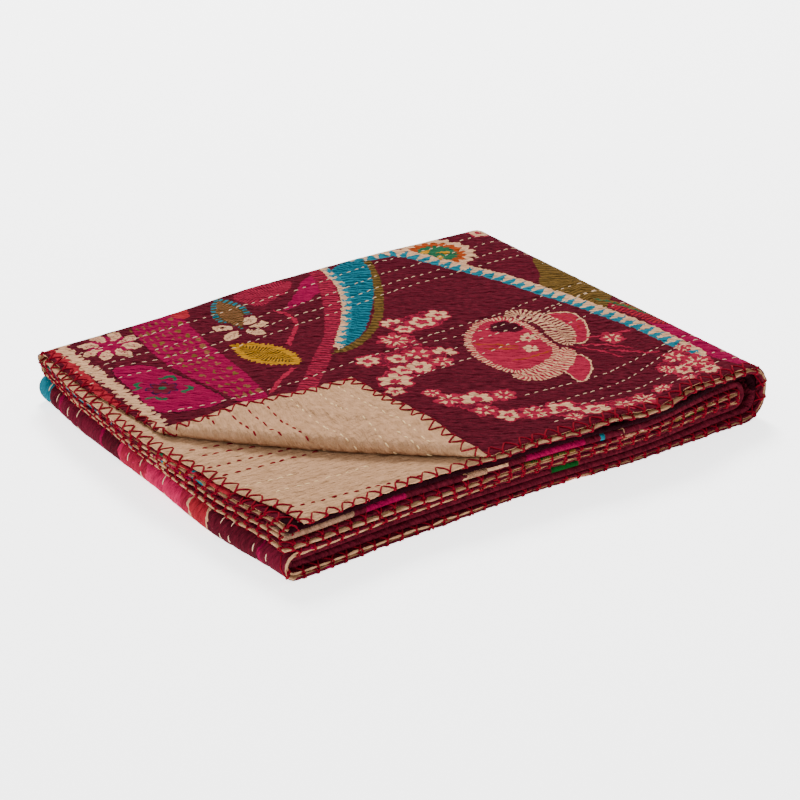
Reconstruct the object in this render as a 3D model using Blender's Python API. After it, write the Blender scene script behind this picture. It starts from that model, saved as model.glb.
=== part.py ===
"""A kantha quilt, folded in quarters both ways, with one corner of its top ply turned back.

The quilt is two cloths sewn together: a printed face and a plain backing. Both are cut flat here
as one creased sheet, then every point of the sheet is carried to where it lies in the folded pile.

Across its width the quilt is folded in half twice, which gives four plies, ply 1 on top.
Plies 1 and 2 have their free edges at the front, and plies 3 and 4 share a fold there.
At the back the fold between plies 2 and 3 lies inside the fold between plies 1 and 4.
That four-ply strip is folded in half twice again along its length, which gives four courses,
course 1 on top and course 4 on the floor. Courses 1 and 2 end freely at the left, courses 3
and 4 share a turn there, and at the right the turn between courses 2 and 3 lies inside the
turn between courses 1 and 4.

Flat sheet: u runs along the length and v across the width, both in metres.
Pile: +X to the right, +Y to the back, +Z up, and it rests on Z = 0.
"""

import math

import bmesh
import bpy
from mathutils import Vector

MM = 0.001

# Driving dimensions, in metres
PILE_LENGTH = 378 * MM  # between the nominal left and right ends
PILE_WIDTH = 309 * MM  # between the nominal front and back edges
PLY_PITCH = 2.6 * MM  # from one ply to the next
FACE_THICKNESS = 0.95 * MM
BACKING_THICKNESS = 0.95 * MM
CLOTH_GAP = 0.3 * MM  # between face and backing
PILE_CENTRE = (-4.83 * MM, -3.98 * MM)  # middle of the pile's own box, from the nominal middle

# Turns at the right and left ends, measured to the middle of the strip
RIGHT_SHOULDER = 4.6 * PLY_PITCH  # corner radius of the outer right turn
RIGHT_DROP = 12 * PLY_PITCH  # height that the outer right turn spans
SMALL_TURN = 2 * PLY_PITCH  # radius of the inner right turn and of the left turn
INNER_TURN_INSET = 3.4 * PLY_PITCH  # how far the inner right turn starts before the outer one
RIGHT_EDGE_PROUD = 2 * MM  # how far the outer right turn reaches past the nominal end
LEFT_TURN_PROUD = 8 * MM  # how far the left turn reaches past the nominal end

# Folds at the front and back, measured to the middle of a ply
OUTER_FOLD = 1.5 * PLY_PITCH
SMALL_FOLD = 0.5 * PLY_PITCH
INNER_FOLD_INSET = 2.8 * PLY_PITCH  # how far the inner back fold starts before the outer one

# Height of each course's middle, counted in plies from the floor
COURSE_LEVEL = {1: 14, 2: 10, 3: 6, 4: 2}

# Corner of the top ply that is turned back over it
CREASE_LEFT = 153 * MM  # from the corner to the crease, along the left end
CREASE_FRONT = 156 * MM  # and along the front edge
CREASE_BULGE = 13 * MM  # how far the middle of the crease bows towards the corner
CREASE_END = 0.06  # share of the bow that the crease's two ends start with
CREASE_FLATNESS = 0.7  # below 1, the bow is flatter in the middle than a sine
ROLL_RADIUS = 4.4 * MM  # in the middle of the crease
ROLL_TAPER = 0.5  # how the roll narrows to the crease's ends
FLAP_SPREAD = 1.14  # how far the turned-back part is eased out
FLAP_BOW = 9 * MM  # how far its two edges bow outwards
FLAP_BOW_DEPTH = 25 * MM  # width over which that bow sets in
FLAP_FALL = 80 * MM  # width over which it comes down from the roll
FLAP_REST = 1.3 * PLY_PITCH  # height of the flap's tip over the ply that it lies on
PUFF_FREE = 6 * MM  # the ply stays unpuffed this near to the crease

# Height of the pile
CROWN = 0.04  # share by which the back middle stands higher
BACK_LEFT_SAG = 0.07  # share by which the back left corner lies lower
LOOSE_EDGE_LIFT = 2.4 * MM  # how far plies 1 and 2 gape at the front, near the right end
LOOSE_START = -0.1  # where they start to gape, as a share of the way to the right end
LOOSE_FULL = 0.65  # where they gape most
LOOSE_END = 0.97  # where they close again
LOOSE_CLOSING = 0.2  # share of the way over which they close
LOOSE_DEPTH = 34 * MM  # how far in from the front edge they gape
LOOSE_EDGE_WAVE = 0.9 * MM  # height of the waves in ply 1's edge
LOOSE_WAVE_STEP = 8 * MM  # length of one radian of those waves
QUILT_PUFF = 0.7 * MM  # height of the cloth between two rows of stitches
ROW_PITCH = 19 * MM  # from one valley of stitches to the next
PUFF_UNEVEN = 0.25  # share by which the puffs vary along a row
PUFF_STEP = 17 * MM  # length of one radian of that variation
PUFF_SHIFT = 2.1  # radians by which it shifts from row to row
# Share of the half width or length at which the puffs fade out, and over what distance
PUFF_FADE = {
    "front": dict(at=0.96, over=6 * MM),
    "back": dict(at=0.94, over=12 * MM),
    "left": dict(at=1.0, over=8 * MM),
    "right": dict(at=0.9, over=20 * MM),
}

# How far each edge lies behind its nominal line, in millimetres, at five places.
# Left ends of plies 1 to 4 in the two courses that end there, and the left turn
LEFT_INSET = {
    #                    back, upper, middle, lower, front
    (1, 1): dict(places=(0, -4, 0, 3, 4)),
    (1, 2): dict(places=(-2, -10, -12, -5, 9)),
    (1, 3): dict(places=(-2, -9, -11, -7, 2)),
    (1, 4): dict(places=(-1, -8, -11, -8, 0)),
    (2, 4): dict(places=(0, -8, -10, -8, -1)),
    (2, 3): dict(places=(1, -7, -10, -8, -2)),
    (2, 2): dict(places=(1, -6, -9, -9, -3)),
    (2, 1): dict(places=(2, -5, -8, -9, -4)),
    "turn": dict(places=(6, 1, 0, -3, 3)),
}
# Front edges of ply 1 and ply 2, the front fold of plies 3 and 4, and the back, by course
FRONT_INSET = {
    #               left, mid-left, middle, mid-right, right
    "ply 1": {
        1: dict(places=(2, 2, -1, -8.5, 3)),
        2: dict(places=(-2, 1, 1, -3, 4)),
        3: dict(places=(-3, 1, 2, -3, 3)),
        4: dict(places=(-2, 3, 6, 2, 3)),
    },
    "ply 2": {
        1: dict(places=(-3, 2, -4, -10, 1)),
        2: dict(places=(0, 3, 1, -4, 5)),
        3: dict(places=(-1, 3, 3, -2, 4)),
        4: dict(places=(0, 3, 5, 2, 4)),
    },
    "fold": {
        1: dict(places=(-1, 3, 0, -6, 7)),
        2: dict(places=(1, 4, 1, -5, 7)),
        3: dict(places=(2, 5, 4, 0, 6)),
        4: dict(places=(3, 5, 4, 1, 6)),
    },
}
BACK_INSET = {
    1: dict(places=(5, 6, 1, -1, 0)),
    2: dict(places=(3, 1, 2, 1, 1)),
    3: dict(places=(0, 2, 1, 3, 2)),
    4: dict(places=(2, 0, 1, 1, 3)),
}

# How finely the flat sheet is creased
CELLS_ALONG_COURSE = 5
CELLS_ACROSS_PLY = 4
STEPS_OUTER_TURN = 7
STEPS_SMALL_TURN = 5
STEPS_OUTER_FOLD = 4
STEPS_SMALL_FOLD = 3
TOP_PLY_COLUMNS = 10  # cells along the top ply
ROLL_STEPS = 5  # facets round the roll of the turned-back corner
SNAP = 0.2 * MM  # creases nearer than this to a point pass through it

HALF_LENGTH = PILE_LENGTH / 2
HALF_WIDTH = PILE_WIDTH / 2
QUILT_HALF = (FACE_THICKNESS + CLOTH_GAP + BACKING_THICKNESS) / 2
RIGHT_START = HALF_LENGTH + RIGHT_EDGE_PROUD - RIGHT_SHOULDER - OUTER_FOLD - QUILT_HALF
LEFT_START = -HALF_LENGTH - LEFT_TURN_PROUD + SMALL_TURN + OUTER_FOLD + QUILT_HALF
BACK_START = HALF_WIDTH - OUTER_FOLD - QUILT_HALF
FRONT_START = -HALF_WIDTH + SMALL_FOLD + QUILT_HALF
FLOOR_LIFT = QUILT_HALF - SMALL_FOLD  # puts the lowest face on the floor

# The strip's route from the free end of course 1 to the free end of course 2
ALONG = [
    ("course", 1, RIGHT_START + HALF_LENGTH),
    ("outer turn", 0, math.pi * RIGHT_SHOULDER + RIGHT_DROP - 2 * RIGHT_SHOULDER),
    ("course", 4, RIGHT_START - LEFT_START),
    ("left turn", 0, math.pi * SMALL_TURN),
    ("course", 3, RIGHT_START - INNER_TURN_INSET - LEFT_START),
    ("inner turn", 0, math.pi * SMALL_TURN),
    ("course", 2, RIGHT_START - INNER_TURN_INSET + HALF_LENGTH),
]
# The quilt's route from the front edge of ply 1 to the front edge of ply 2
ACROSS = [
    ("ply", 1, BACK_START + HALF_WIDTH),
    ("outer fold", 0, math.pi * OUTER_FOLD),
    ("ply", 4, BACK_START - FRONT_START),
    ("front fold", 0, math.pi * SMALL_FOLD),
    ("ply", 3, BACK_START - INNER_FOLD_INSET - FRONT_START),
    ("inner fold", 0, math.pi * SMALL_FOLD),
    ("ply", 2, BACK_START - INNER_FOLD_INSET + HALF_WIDTH),
]
# Courses before and after each turn, and the end of their rows that it lies at
TURN_ENDS = {"outer turn": (1, 4, 1.0), "left turn": (4, 3, 0.0), "inner turn": (3, 2, 1.0)}
PLY_LEVEL = {1: 1.5, 2: 0.5, 3: -0.5, 4: -1.5}  # height over the strip's middle, in plies
FLAT_LENGTH = sum(part[2] for part in ALONG)
FLAT_WIDTH = sum(part[2] for part in ACROSS)


def blend(a, b, share):
    return a + (b - a) * share


def ease(share):
    share = min(max(share, 0.0), 1.0)
    return share * share * (3 - 2 * share)


def along_row(row, share):
    """A row's value in metres at a share of the way from its first place to its last."""
    places = row["places"]
    reach = min(max(share, 0.0), 1.0) * (len(places) - 1)
    first = min(int(reach), len(places) - 2)
    return blend(places[first], places[first + 1], ease(reach - first)) * MM


def find(route, distance):
    """The part of a route that a distance falls in, and the share of it passed."""
    for kind, number, length in route[:-1]:
        if distance <= length:
            return kind, number, distance / length
        distance -= length
    kind, number, length = route[-1]
    return kind, number, distance / length


def turn_at(share):
    """Point and outward normal on the outer right turn, from its top to its bottom."""
    arc = math.pi / 2 * RIGHT_SHOULDER
    straight = RIGHT_DROP - 2 * RIGHT_SHOULDER
    gone = share * (2 * arc + straight)
    dropped = min(max(gone - arc, 0.0), straight)
    angle = (gone - dropped) / RIGHT_SHOULDER
    normal = Vector((math.sin(angle), 0, math.cos(angle)))
    return normal * RIGHT_SHOULDER + Vector((0, 0, straight / 2 - dropped)), normal


def inset(rows, u):
    """How far an edge lies behind its nominal line where the strip is at u, by its rows."""
    kind, course, share = find(ALONG, u)
    if kind == "course":
        return along_row(rows[course], share if course in (1, 3) else 1 - share)
    before, after, place = TURN_ENDS[kind]
    return blend(along_row(rows[before], place), along_row(rows[after], place), ease(share))


def across_strip(u, v):
    """Where v lies in the strip's section: y, height over its middle, normal, and its ply."""
    kind, ply, share = find(ACROSS, v)
    back = BACK_START - inset(BACK_INSET, u)
    fold_y = FRONT_START + inset(FRONT_INSET["fold"], u)
    inner = back - INNER_FOLD_INSET
    if kind == "ply":
        ends = {
            1: (-HALF_WIDTH + inset(FRONT_INSET["ply 1"], u), back),
            4: (back, fold_y),
            3: (fold_y, inner),
            2: (inner, -HALF_WIDTH + inset(FRONT_INSET["ply 2"], u)),
        }
        y = blend(*ends[ply], share)
        return y, PLY_LEVEL[ply] * PLY_PITCH, (0.0, 1.0 if ply in (1, 3) else -1.0), ply
    angle = math.pi * share
    if kind == "outer fold":
        normal = (math.sin(angle), math.cos(angle))
        return back + OUTER_FOLD * normal[0], OUTER_FOLD * normal[1], normal, 1 + 3 * share
    if kind == "front fold":
        normal = (-math.sin(angle), -math.cos(angle))
        height = -PLY_PITCH + SMALL_FOLD * normal[1]
        return fold_y + SMALL_FOLD * normal[0], height, normal, 4 - share
    normal = (-math.sin(angle), math.cos(angle))
    return inner - SMALL_FOLD * normal[0], -SMALL_FOLD * normal[1], normal, 3 - share


def left_end(course, ply, y):
    """X of the free end of a course, for a ply and a place across."""
    place = 0.5 - y / PILE_WIDTH
    low = min(int(ply), 3)
    here = along_row(LEFT_INSET[course, low], place)
    beyond = along_row(LEFT_INSET[course, low + 1], place)
    return -HALF_LENGTH + blend(here, beyond, ply - low)


def pile_height(x, y):
    """Share by which the pile stands higher or lower than its plies' pitch gives."""
    back = ease(0.5 + y / PILE_WIDTH)
    middle = math.cos(math.pi * min(max(x / PILE_LENGTH, -0.5), 0.5))
    left = ease(-2 * x / PILE_LENGTH)
    return 1 + CROWN * back * middle - BACK_LEFT_SAG * back * left


def loose_edge(x, y, ply):
    """How far a loose ply at the front stands off, which is most near the right end."""
    way = x / HALF_LENGTH
    near = ease((way - LOOSE_START) / (LOOSE_FULL - LOOSE_START))
    near *= ease((LOOSE_END - way) / LOOSE_CLOSING)
    front = ease(1 - (y + HALF_WIDTH) / LOOSE_DEPTH)
    if ply == 2:
        return near * front * LOOSE_EDGE_LIFT / 2
    return near * front * (LOOSE_EDGE_LIFT + math.sin(x / LOOSE_WAVE_STEP) * LOOSE_EDGE_WAVE)


def puff(x, y):
    """Height of the top ply between its rows of stitches."""
    rows = (y + HALF_WIDTH) / ROW_PITCH
    along = 1 - PUFF_UNEVEN + PUFF_UNEVEN * math.sin(x / PUFF_STEP + PUFF_SHIFT * math.floor(rows))
    room = {
        "front": PUFF_FADE["front"]["at"] * HALF_WIDTH + y,
        "back": PUFF_FADE["back"]["at"] * HALF_WIDTH - y,
        "left": PUFF_FADE["left"]["at"] * HALF_LENGTH + x,
        "right": PUFF_FADE["right"]["at"] * HALF_LENGTH - x,
    }
    inside = math.prod(ease(room[side] / PUFF_FADE[side]["over"]) for side in room)
    return QUILT_PUFF * abs(math.sin(math.pi * rows)) * along * inside


def crease_frame():
    """Start of the crease, its direction, and the direction towards the corner."""
    corner = Vector((-HALF_LENGTH, -HALF_WIDTH, 0))
    start = corner + Vector((0, CREASE_LEFT, 0))
    end = corner + Vector((CREASE_FRONT, 0, 0))
    run = (end - start).normalized()
    return start, run, Vector((run.y, -run.x, 0)), (end - start).length


def past_crease(x, y):
    """How far a point of the top ply lies along the crease and past it, and the bow there."""
    start, run, outward, length = crease_frame()
    step = Vector((x, y, 0)) - start
    share = min(max(step.dot(run) / length, 0.0), 1.0)
    bow = math.sin(math.pi * blend(CREASE_END, 1 - CREASE_END, share)) ** CREASE_FLATNESS
    return step.dot(run), step.dot(outward), share, CREASE_BULGE * bow


def turn_back(x, y, offset):
    """Carries a point of the top ply over the crease: its place, and height over the ply."""
    start, run, outward, _ = crease_frame()
    gone, out, share, bulge = past_crease(x, y)
    rolled = out - bulge
    if rolled <= 0:
        return Vector((x, y, offset))
    narrow = math.sin(math.pi * blend(CREASE_END, 1 - CREASE_END, share)) ** ROLL_TAPER
    radius = ROLL_RADIUS * narrow
    if rolled < math.pi * radius:
        angle = rolled / radius
        reach = radius * math.sin(angle)
        height = radius * (1 - math.cos(angle))
        slope = (math.sin(angle), math.cos(angle))
    else:
        over = rolled - math.pi * radius
        bow = FLAP_BOW * math.sin(2 * math.pi * share) ** 2 * ease(over / FLAP_BOW_DEPTH)
        returned = over * FLAP_SPREAD + bow
        reach = -returned
        height = blend(2 * radius, FLAP_REST, ease(returned / FLAP_FALL))
        slope = (0.0, -1.0)
    place = start + run * gone + outward * (bulge + reach - slope[0] * offset)
    place.z = height + slope[1] * offset
    return place


def lie(u, v, offset):
    """Where a point of the flat sheet lies in the pile, offset towards the printed side."""
    y, height, normal, ply = across_strip(u, v)
    kind, course, share = find(ALONG, u)
    y += normal[0] * offset
    height += normal[1] * offset
    if kind == "course":
        up = 1 if course in (1, 3) else -1
        level = COURSE_LEVEL[course] * PLY_PITCH
        if course in (1, 2):
            free = left_end(course, ply, y)
        else:
            free = LEFT_START + along_row(LEFT_INSET["turn"], 0.5 - y / PILE_WIDTH)
        right = RIGHT_START - (INNER_TURN_INSET if course in (2, 3) else 0)
        x = blend(free, right, share) if up > 0 else blend(right, free, share)
        z = level + up * height
    elif kind == "outer turn":
        point, out = turn_at(share)
        point += out * height
        x, z = RIGHT_START + point.x, 8 * PLY_PITCH + point.z
    elif kind == "left turn":
        angle = math.pi * share
        radius = SMALL_TURN + height
        centre = LEFT_START + along_row(LEFT_INSET["turn"], 0.5 - y / PILE_WIDTH)
        x, z = centre - radius * math.sin(angle), 4 * PLY_PITCH - radius * math.cos(angle)
    else:
        angle = math.pi * share
        radius = SMALL_TURN - height
        x = RIGHT_START - INNER_TURN_INSET + radius * math.sin(angle)
        z = 8 * PLY_PITCH - radius * math.cos(angle)
    lift = 0.0
    if (kind, course) == ("course", 1):
        if ply == 1:
            flat = turn_back(x, y, offset)
            if flat.z != offset:
                z += flat.z - offset
                x, y = flat.x, flat.y
            elif past_crease(x, y)[1] < -PUFF_FREE:
                lift = puff(x, y)
        if ply in (1, 2):
            lift += loose_edge(x, y, ply)
    z = (z + FLOOR_LIFT) * pile_height(x, y) + lift
    return Vector((x - PILE_CENTRE[0], y - PILE_CENTRE[1], z))


def stations(route, cells, steps):
    """Distances at which a route is creased: evenly in its straight parts and its turns."""
    found, gone = [], 0.0
    for kind, _, length in route:
        count = cells if kind in ("course", "ply") else steps[kind]
        found += [gone + length * i / count for i in range(1, count + 1)]
        gone += length
    return found[:-1]


def cut(bm, axis, distances, faces=None):
    """Creases the flat sheet across an axis, everywhere or only in the given faces."""
    normal = Vector((1, 0, 0)) if axis == "u" else Vector((0, 1, 0))
    for distance in distances:
        chosen = faces(bm) if faces else bm.faces[:]
        geometry = set(chosen)
        for face in chosen:
            geometry.update(face.edges)
            geometry.update(face.verts)
        bmesh.ops.bisect_plane(
            bm, geom=list(geometry), dist=SNAP, plane_co=normal * distance, plane_no=normal
        )


def top_ply(bm):
    """Faces of the flat sheet that become the top ply."""
    limit_u, limit_v = ALONG[0][2] + SNAP, ACROSS[0][2] + SNAP
    return [
        face
        for face in bm.faces
        if all(vert.co.x < limit_u and vert.co.y < limit_v for vert in face.verts)
    ]


def second_ply(bm):
    """Faces of the flat sheet that become ply 2 of the top course."""
    limit_u, limit_v = ALONG[0][2] + SNAP, FLAT_WIDTH - ACROSS[-1][2] - SNAP
    return [
        face
        for face in bm.faces
        if all(vert.co.x < limit_u and vert.co.y > limit_v for vert in face.verts)
    ]


def creased_sheet():
    """The quilt cut flat, creased wherever it will bend."""
    bm = bmesh.new()
    bmesh.ops.create_grid(bm, x_segments=1, y_segments=1, size=0.5)
    for vert in bm.verts:
        vert.co = Vector(((vert.co.x + 0.5) * FLAT_LENGTH, (vert.co.y + 0.5) * FLAT_WIDTH, 0))
    turn_steps = {
        "outer turn": STEPS_OUTER_TURN,
        "left turn": STEPS_SMALL_TURN,
        "inner turn": STEPS_SMALL_TURN,
    }
    fold_steps = {
        "outer fold": STEPS_OUTER_FOLD,
        "front fold": STEPS_SMALL_FOLD,
        "inner fold": STEPS_SMALL_FOLD,
    }
    cut(bm, "u", stations(ALONG, CELLS_ALONG_COURSE, turn_steps))
    cut(bm, "v", stations(ACROSS, CELLS_ACROSS_PLY, fold_steps))
    length, width = ALONG[0][2], ACROSS[0][2]
    rows = int(2 * width / ROW_PITCH)
    cut(bm, "v", [ROW_PITCH / 2 * row for row in range(1, rows + 1)], top_ply)
    cut(bm, "u", [length * i / TOP_PLY_COLUMNS for i in range(1, TOP_PLY_COLUMNS)], top_ply)
    cut(bm, "v", [FLAT_WIDTH - LOOSE_DEPTH, FLAT_WIDTH - LOOSE_DEPTH / 2], second_ply)
    crease_the_corner(bm)
    bmesh.ops.remove_doubles(bm, verts=bm.verts[:], dist=SNAP)
    bmesh.ops.dissolve_degenerate(bm, dist=SNAP, edges=bm.edges[:])
    bmesh.ops.triangulate(bm, faces=bm.faces[:])
    return bm


def crease_the_corner(bm):
    """Cuts the top ply along lines that follow the crease, where it rolls over."""
    start, run, outward, _ = crease_frame()
    origin = Vector((-HALF_LENGTH, -HALF_WIDTH, 0))
    roll = math.pi * ROLL_RADIUS
    for step in range(-2, ROLL_STEPS + 1 + 2):
        out = CREASE_BULGE * 0.75 + roll * step / ROLL_STEPS
        faces = top_ply(bm)
        geometry = set(faces)
        for face in faces:
            geometry.update(face.edges)
            geometry.update(face.verts)
        place = start - origin + outward * out
        bmesh.ops.bisect_plane(
            bm, geom=list(geometry), dist=SNAP, plane_co=place, plane_no=outward
        )


def cloth(name, low, high, material):
    """One of the two cloths: the creased sheet at two offsets, joined along its edges."""
    bm = creased_sheet()
    flat = bm.verts.layers.float_vector.new("flat")
    for vert in bm.verts:
        vert[flat] = vert.co.copy()
    bmesh.ops.extrude_face_region(bm, geom=bm.faces[:], use_keep_orig=True)
    bm.verts.ensure_lookup_table()
    half = len(bm.verts) // 2
    for number, vert in enumerate(bm.verts):
        u, v, _ = vert[flat]
        vert.co = lie(u, v, low if number < half else high)
    bmesh.ops.triangulate(bm, faces=bm.faces[:])
    bmesh.ops.recalc_face_normals(bm, faces=bm.faces[:])
    mesh = bpy.data.meshes.new(name)
    bm.to_mesh(mesh)
    bm.free()
    mesh.materials.append(material)
    piece = bpy.data.objects.new(name, mesh)
    bpy.context.scene.collection.objects.link(piece)
    low_corner = [min(vert.co[i] for vert in mesh.vertices) for i in range(3)]
    high_corner = [max(vert.co[i] for vert in mesh.vertices) for i in range(3)]
    print(name, len(mesh.polygons), "triangles", [round(c, 5) for c in low_corner + high_corner])
    return piece


def plain(name, colour, roughness):
    """A plain cloth material."""
    material = bpy.data.materials.new(name)
    material.use_nodes = True
    shader = material.node_tree.nodes["Principled BSDF"]
    shader.inputs["Base Color"].default_value = (*colour, 1)
    shader.inputs["Roughness"].default_value = roughness
    shader.inputs["Metallic"].default_value = 0.0
    material.diffuse_color = (*colour, 1)
    return material


for thing in list(bpy.data.objects):
    bpy.data.objects.remove(thing)

printed = plain("printed cotton", (0.105, 0.006, 0.022), 0.9)
beige = plain("beige cotton", (0.61, 0.41, 0.24), 0.92)
outer = QUILT_HALF
cloth("printed_face", outer - FACE_THICKNESS, outer, printed)
cloth("plain_backing", -outer, -outer + BACKING_THICKNESS, beige)
print("flat size", round(FLAT_LENGTH, 4), round(FLAT_WIDTH, 4))
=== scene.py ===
# %% [markdown]
# # A folded kantha quilt
# A kantha quilt is a few old cotton cloths laid on each other and held together by rows of hand
# running stitches. This one has a printed face and a plain backing, a red whip stitch along
# every edge, and it lies folded in quarters both ways with one corner turned back.
# The folded solids are already made and packed. This lesson loads them as a fixed frame, and
# then dresses them: two fine sheets on the same folds, the sewing, the print and the light.

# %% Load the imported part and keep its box
import math
import random

import bmesh
import bpy
import numpy as np
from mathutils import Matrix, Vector, noise


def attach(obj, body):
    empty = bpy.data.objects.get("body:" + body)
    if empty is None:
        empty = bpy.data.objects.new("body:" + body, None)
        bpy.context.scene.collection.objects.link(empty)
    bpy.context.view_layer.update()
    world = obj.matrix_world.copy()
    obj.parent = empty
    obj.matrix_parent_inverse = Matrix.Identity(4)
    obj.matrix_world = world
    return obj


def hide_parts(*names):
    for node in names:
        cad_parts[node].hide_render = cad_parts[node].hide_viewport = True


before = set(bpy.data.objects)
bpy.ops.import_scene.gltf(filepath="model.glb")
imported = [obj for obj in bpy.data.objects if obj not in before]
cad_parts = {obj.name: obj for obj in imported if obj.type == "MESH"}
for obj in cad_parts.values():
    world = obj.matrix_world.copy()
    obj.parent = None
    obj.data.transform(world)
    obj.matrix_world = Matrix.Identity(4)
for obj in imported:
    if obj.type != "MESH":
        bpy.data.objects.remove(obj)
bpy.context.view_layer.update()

MM = 0.001


def in_mm(lengths):
    """Lengths in millimetres, rounded for printing."""
    return [round(length / MM, 1) for length in lengths]


# %% [markdown]
# ## Camera
# The quilt is seen from its front left corner and from a little above, as one looks down at a
# pile on a table. A long lens from about 1.7 metres away keeps its edges almost parallel.
# A camera looks along its own -Z, so it is tipped up from straight down by 90 degrees less its
# downward pitch, and then turned about the vertical.

# %% Camera
LENS_MM = 111.67
SENSOR_MM = 36
CAMERA_PLACE = (-0.8673, -1.2201, 0.7147)  # metres
CAMERA_PITCH = 25.22  # degrees below level
CAMERA_TURN = 35.49  # degrees to the right of straight ahead


def add_object(name, data):
    """A new object in the scene."""
    added = bpy.data.objects.new(name, data)
    bpy.context.scene.collection.objects.link(added)
    return added


camera_data = bpy.data.cameras.new("camera")
camera_data.lens = LENS_MM
camera_data.sensor_width = SENSOR_MM
camera = add_object("camera", camera_data)
camera.location = CAMERA_PLACE
camera.rotation_euler = (math.radians(90 - CAMERA_PITCH), 0, math.radians(-CAMERA_TURN))
bpy.context.scene.camera = camera
print("camera", round(Vector(CAMERA_PLACE).length, 2), "m from the middle of the pile")

# %% [markdown]
# ## Colours
# Cloth dyers' colours are written down as hex values, which are meant for a screen. The shader
# works in linear light, so one function turns each value to linear before it is used.

# %% Colours
def linear(code):
    """A hex colour as linear red, green, blue and alpha."""
    values = [int(code[i : i + 2], 16) / 255 for i in (0, 2, 4)]
    return [v / 12.92 if v <= 0.04045 else ((v + 0.055) / 1.055) ** 2.4 for v in values] + [1.0]


DYES = {
    "dark maroon": "310812",
    "maroon": "410c18",
    "light maroon": "53121f",
    "magenta": "720630",
    "dark rose": "521020",
    "rose": "80192e",
    "coral": "841c26",
    "teal": "145a68",
    "dark teal": "0c3844",
    "bronze": "3c2c12",
    "olive": "5a421e",
    "tan": "68422a",
    "pink": "a01a42",
    "grey": "7c5a48",
    # not a dye: painted shade, laid black on the fold along the front of the top course, for the
    # dark gap between the plies there
    "painted shade": "1a0409",
    "mustard": "926412",
    "cream": "ae8464",
    "green": "1a4a32",
    "leaf green": "0b3612",
    "orange": "7e3213",
    "violet": "2e1030",
}
print(len(DYES), "dyes")

# %% [markdown]
# ## Floor and light
# The quilt lies on a table covered with plain white paper, which gives off a little light of
# its own so that it stays white all round. A large soft box above and behind the quilt models
# the puffs between the stitches, a weaker and wider one fills from the left of the camera, and
# an even white surround keeps the shadows open. Big lamps close to the quilt give soft shadows:
# the softness depends on how large a lamp looks from the object, and not on its power.

# %% Floor and light
FLOOR_SIZE = 14.0  # metres
TABLE_GLOW = 2.5  # strength of the table's own light


def mesh_from(name, bm, material):
    """A mesh made of a finished bmesh, with its material."""
    mesh = bpy.data.meshes.new(name)
    bm.to_mesh(mesh)
    bm.free()
    mesh.materials.append(material)
    return mesh


def matt_material(name, roughness, shine):
    """A new material with its roughness and shine, and its shader."""
    material = bpy.data.materials.new(name)
    material.use_nodes = True
    shader = material.node_tree.nodes["Principled BSDF"]
    shader.inputs["Roughness"].default_value = roughness
    shader.inputs["Specular IOR Level"].default_value = shine
    return material, shader


# uncoated paper from a roll is quite matt, so that it takes soft shadows and mirrors nothing
paper, paper_shader = matt_material("matt white paper", 0.95, 0.1)
paper_shader.inputs["Base Color"].default_value = linear("fbfbfb")
paper_shader.inputs["Emission Color"].default_value = linear("ffffff")
paper_shader.inputs["Emission Strength"].default_value = TABLE_GLOW

bm = bmesh.new()
bmesh.ops.create_grid(bm, x_segments=8, y_segments=8, size=FLOOR_SIZE / 2)
floor = add_object("floor", mesh_from("floor", bm, paper))

SOFT_BOXES = [
    # place and width in metres, and power in watts
    dict(name="key", place=(0.8, 1.4, 2.0), size=0.9, power=118),
    dict(name="fill", place=(-1.6, -0.8, 1.8), size=1.6, power=14),
]
for box in SOFT_BOXES:
    lamp = bpy.data.lights.new(box["name"], "AREA")
    lamp.energy = box["power"]
    lamp.size = box["size"]
    lamp_object = add_object(box["name"], lamp)
    lamp_object.location = box["place"]
    lamp_object.rotation_euler = (-Vector(box["place"])).to_track_quat("-Z", "Y").to_euler()

SURROUND = 0.9  # strength of the white light from all round
world = bpy.data.worlds.new("surround")
world.use_nodes = True
world.node_tree.nodes["Background"].inputs["Color"].default_value = linear("ffffff")
world.node_tree.nodes["Background"].inputs["Strength"].default_value = SURROUND
bpy.context.scene.world = world
print(len(SOFT_BOXES), "soft boxes and a white surround")

# %% [markdown]
# ## How the quilt is folded
# The quilt is one flat sheet, about 1.51 m long and 1.22 m wide. A point of it is named by u,
# along the length, and v, across the width. Folding it is a rule that says where (u, v) lies in
# the pile. Across its width it is folded in half twice, so that a cut through it shows four
# plies; along its length it is folded in half twice again, which gives four courses.
# One rule for every point keeps the face, the backing and the stitches together in each fold,
# and a print that is drawn on the flat sheet follows the folds by itself.
# Simulated cloth could fall into such folds too, but not into exactly these.

# %% Sizes of the folded pile
PILE_LENGTH = 378 * MM
PILE_WIDTH = 309 * MM
PLY_PITCH = 2.6 * MM  # from one ply's middle to the next
QUILT_HALF = 1.1 * MM  # half the quilt's thickness
PILE_CENTRE = (-4.83 * MM, -3.98 * MM)  # of its box, from the middle of that length and width

# Turns at the ends of the pile: radii and heights at the quilt's middle
RIGHT_SHOULDER = 4.6 * PLY_PITCH
RIGHT_DROP = 12 * PLY_PITCH
SMALL_TURN = 2 * PLY_PITCH
INNER_TURN_INSET = 3.4 * PLY_PITCH
RIGHT_EDGE_PROUD = 2 * MM
LEFT_TURN_PROUD = 8 * MM
# Folds along its front and back
OUTER_FOLD = 1.5 * PLY_PITCH
SMALL_FOLD = 0.5 * PLY_PITCH
INNER_FOLD_INSET = 2.8 * PLY_PITCH
# Heights of the middles of the courses and turns over the lowest ply's underside, and of the
# plies over their course's middle, all in ply pitches
COURSE_LEVEL = {1: 14, 2: 10, 3: 6, 4: 2}
TURN_LEVEL = {"outer turn": 8, "left turn": 4, "inner turn": 8}
PLY_LEVEL = {1: 1.5, 2: 0.5, 3: -0.5, 4: -1.5}

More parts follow.
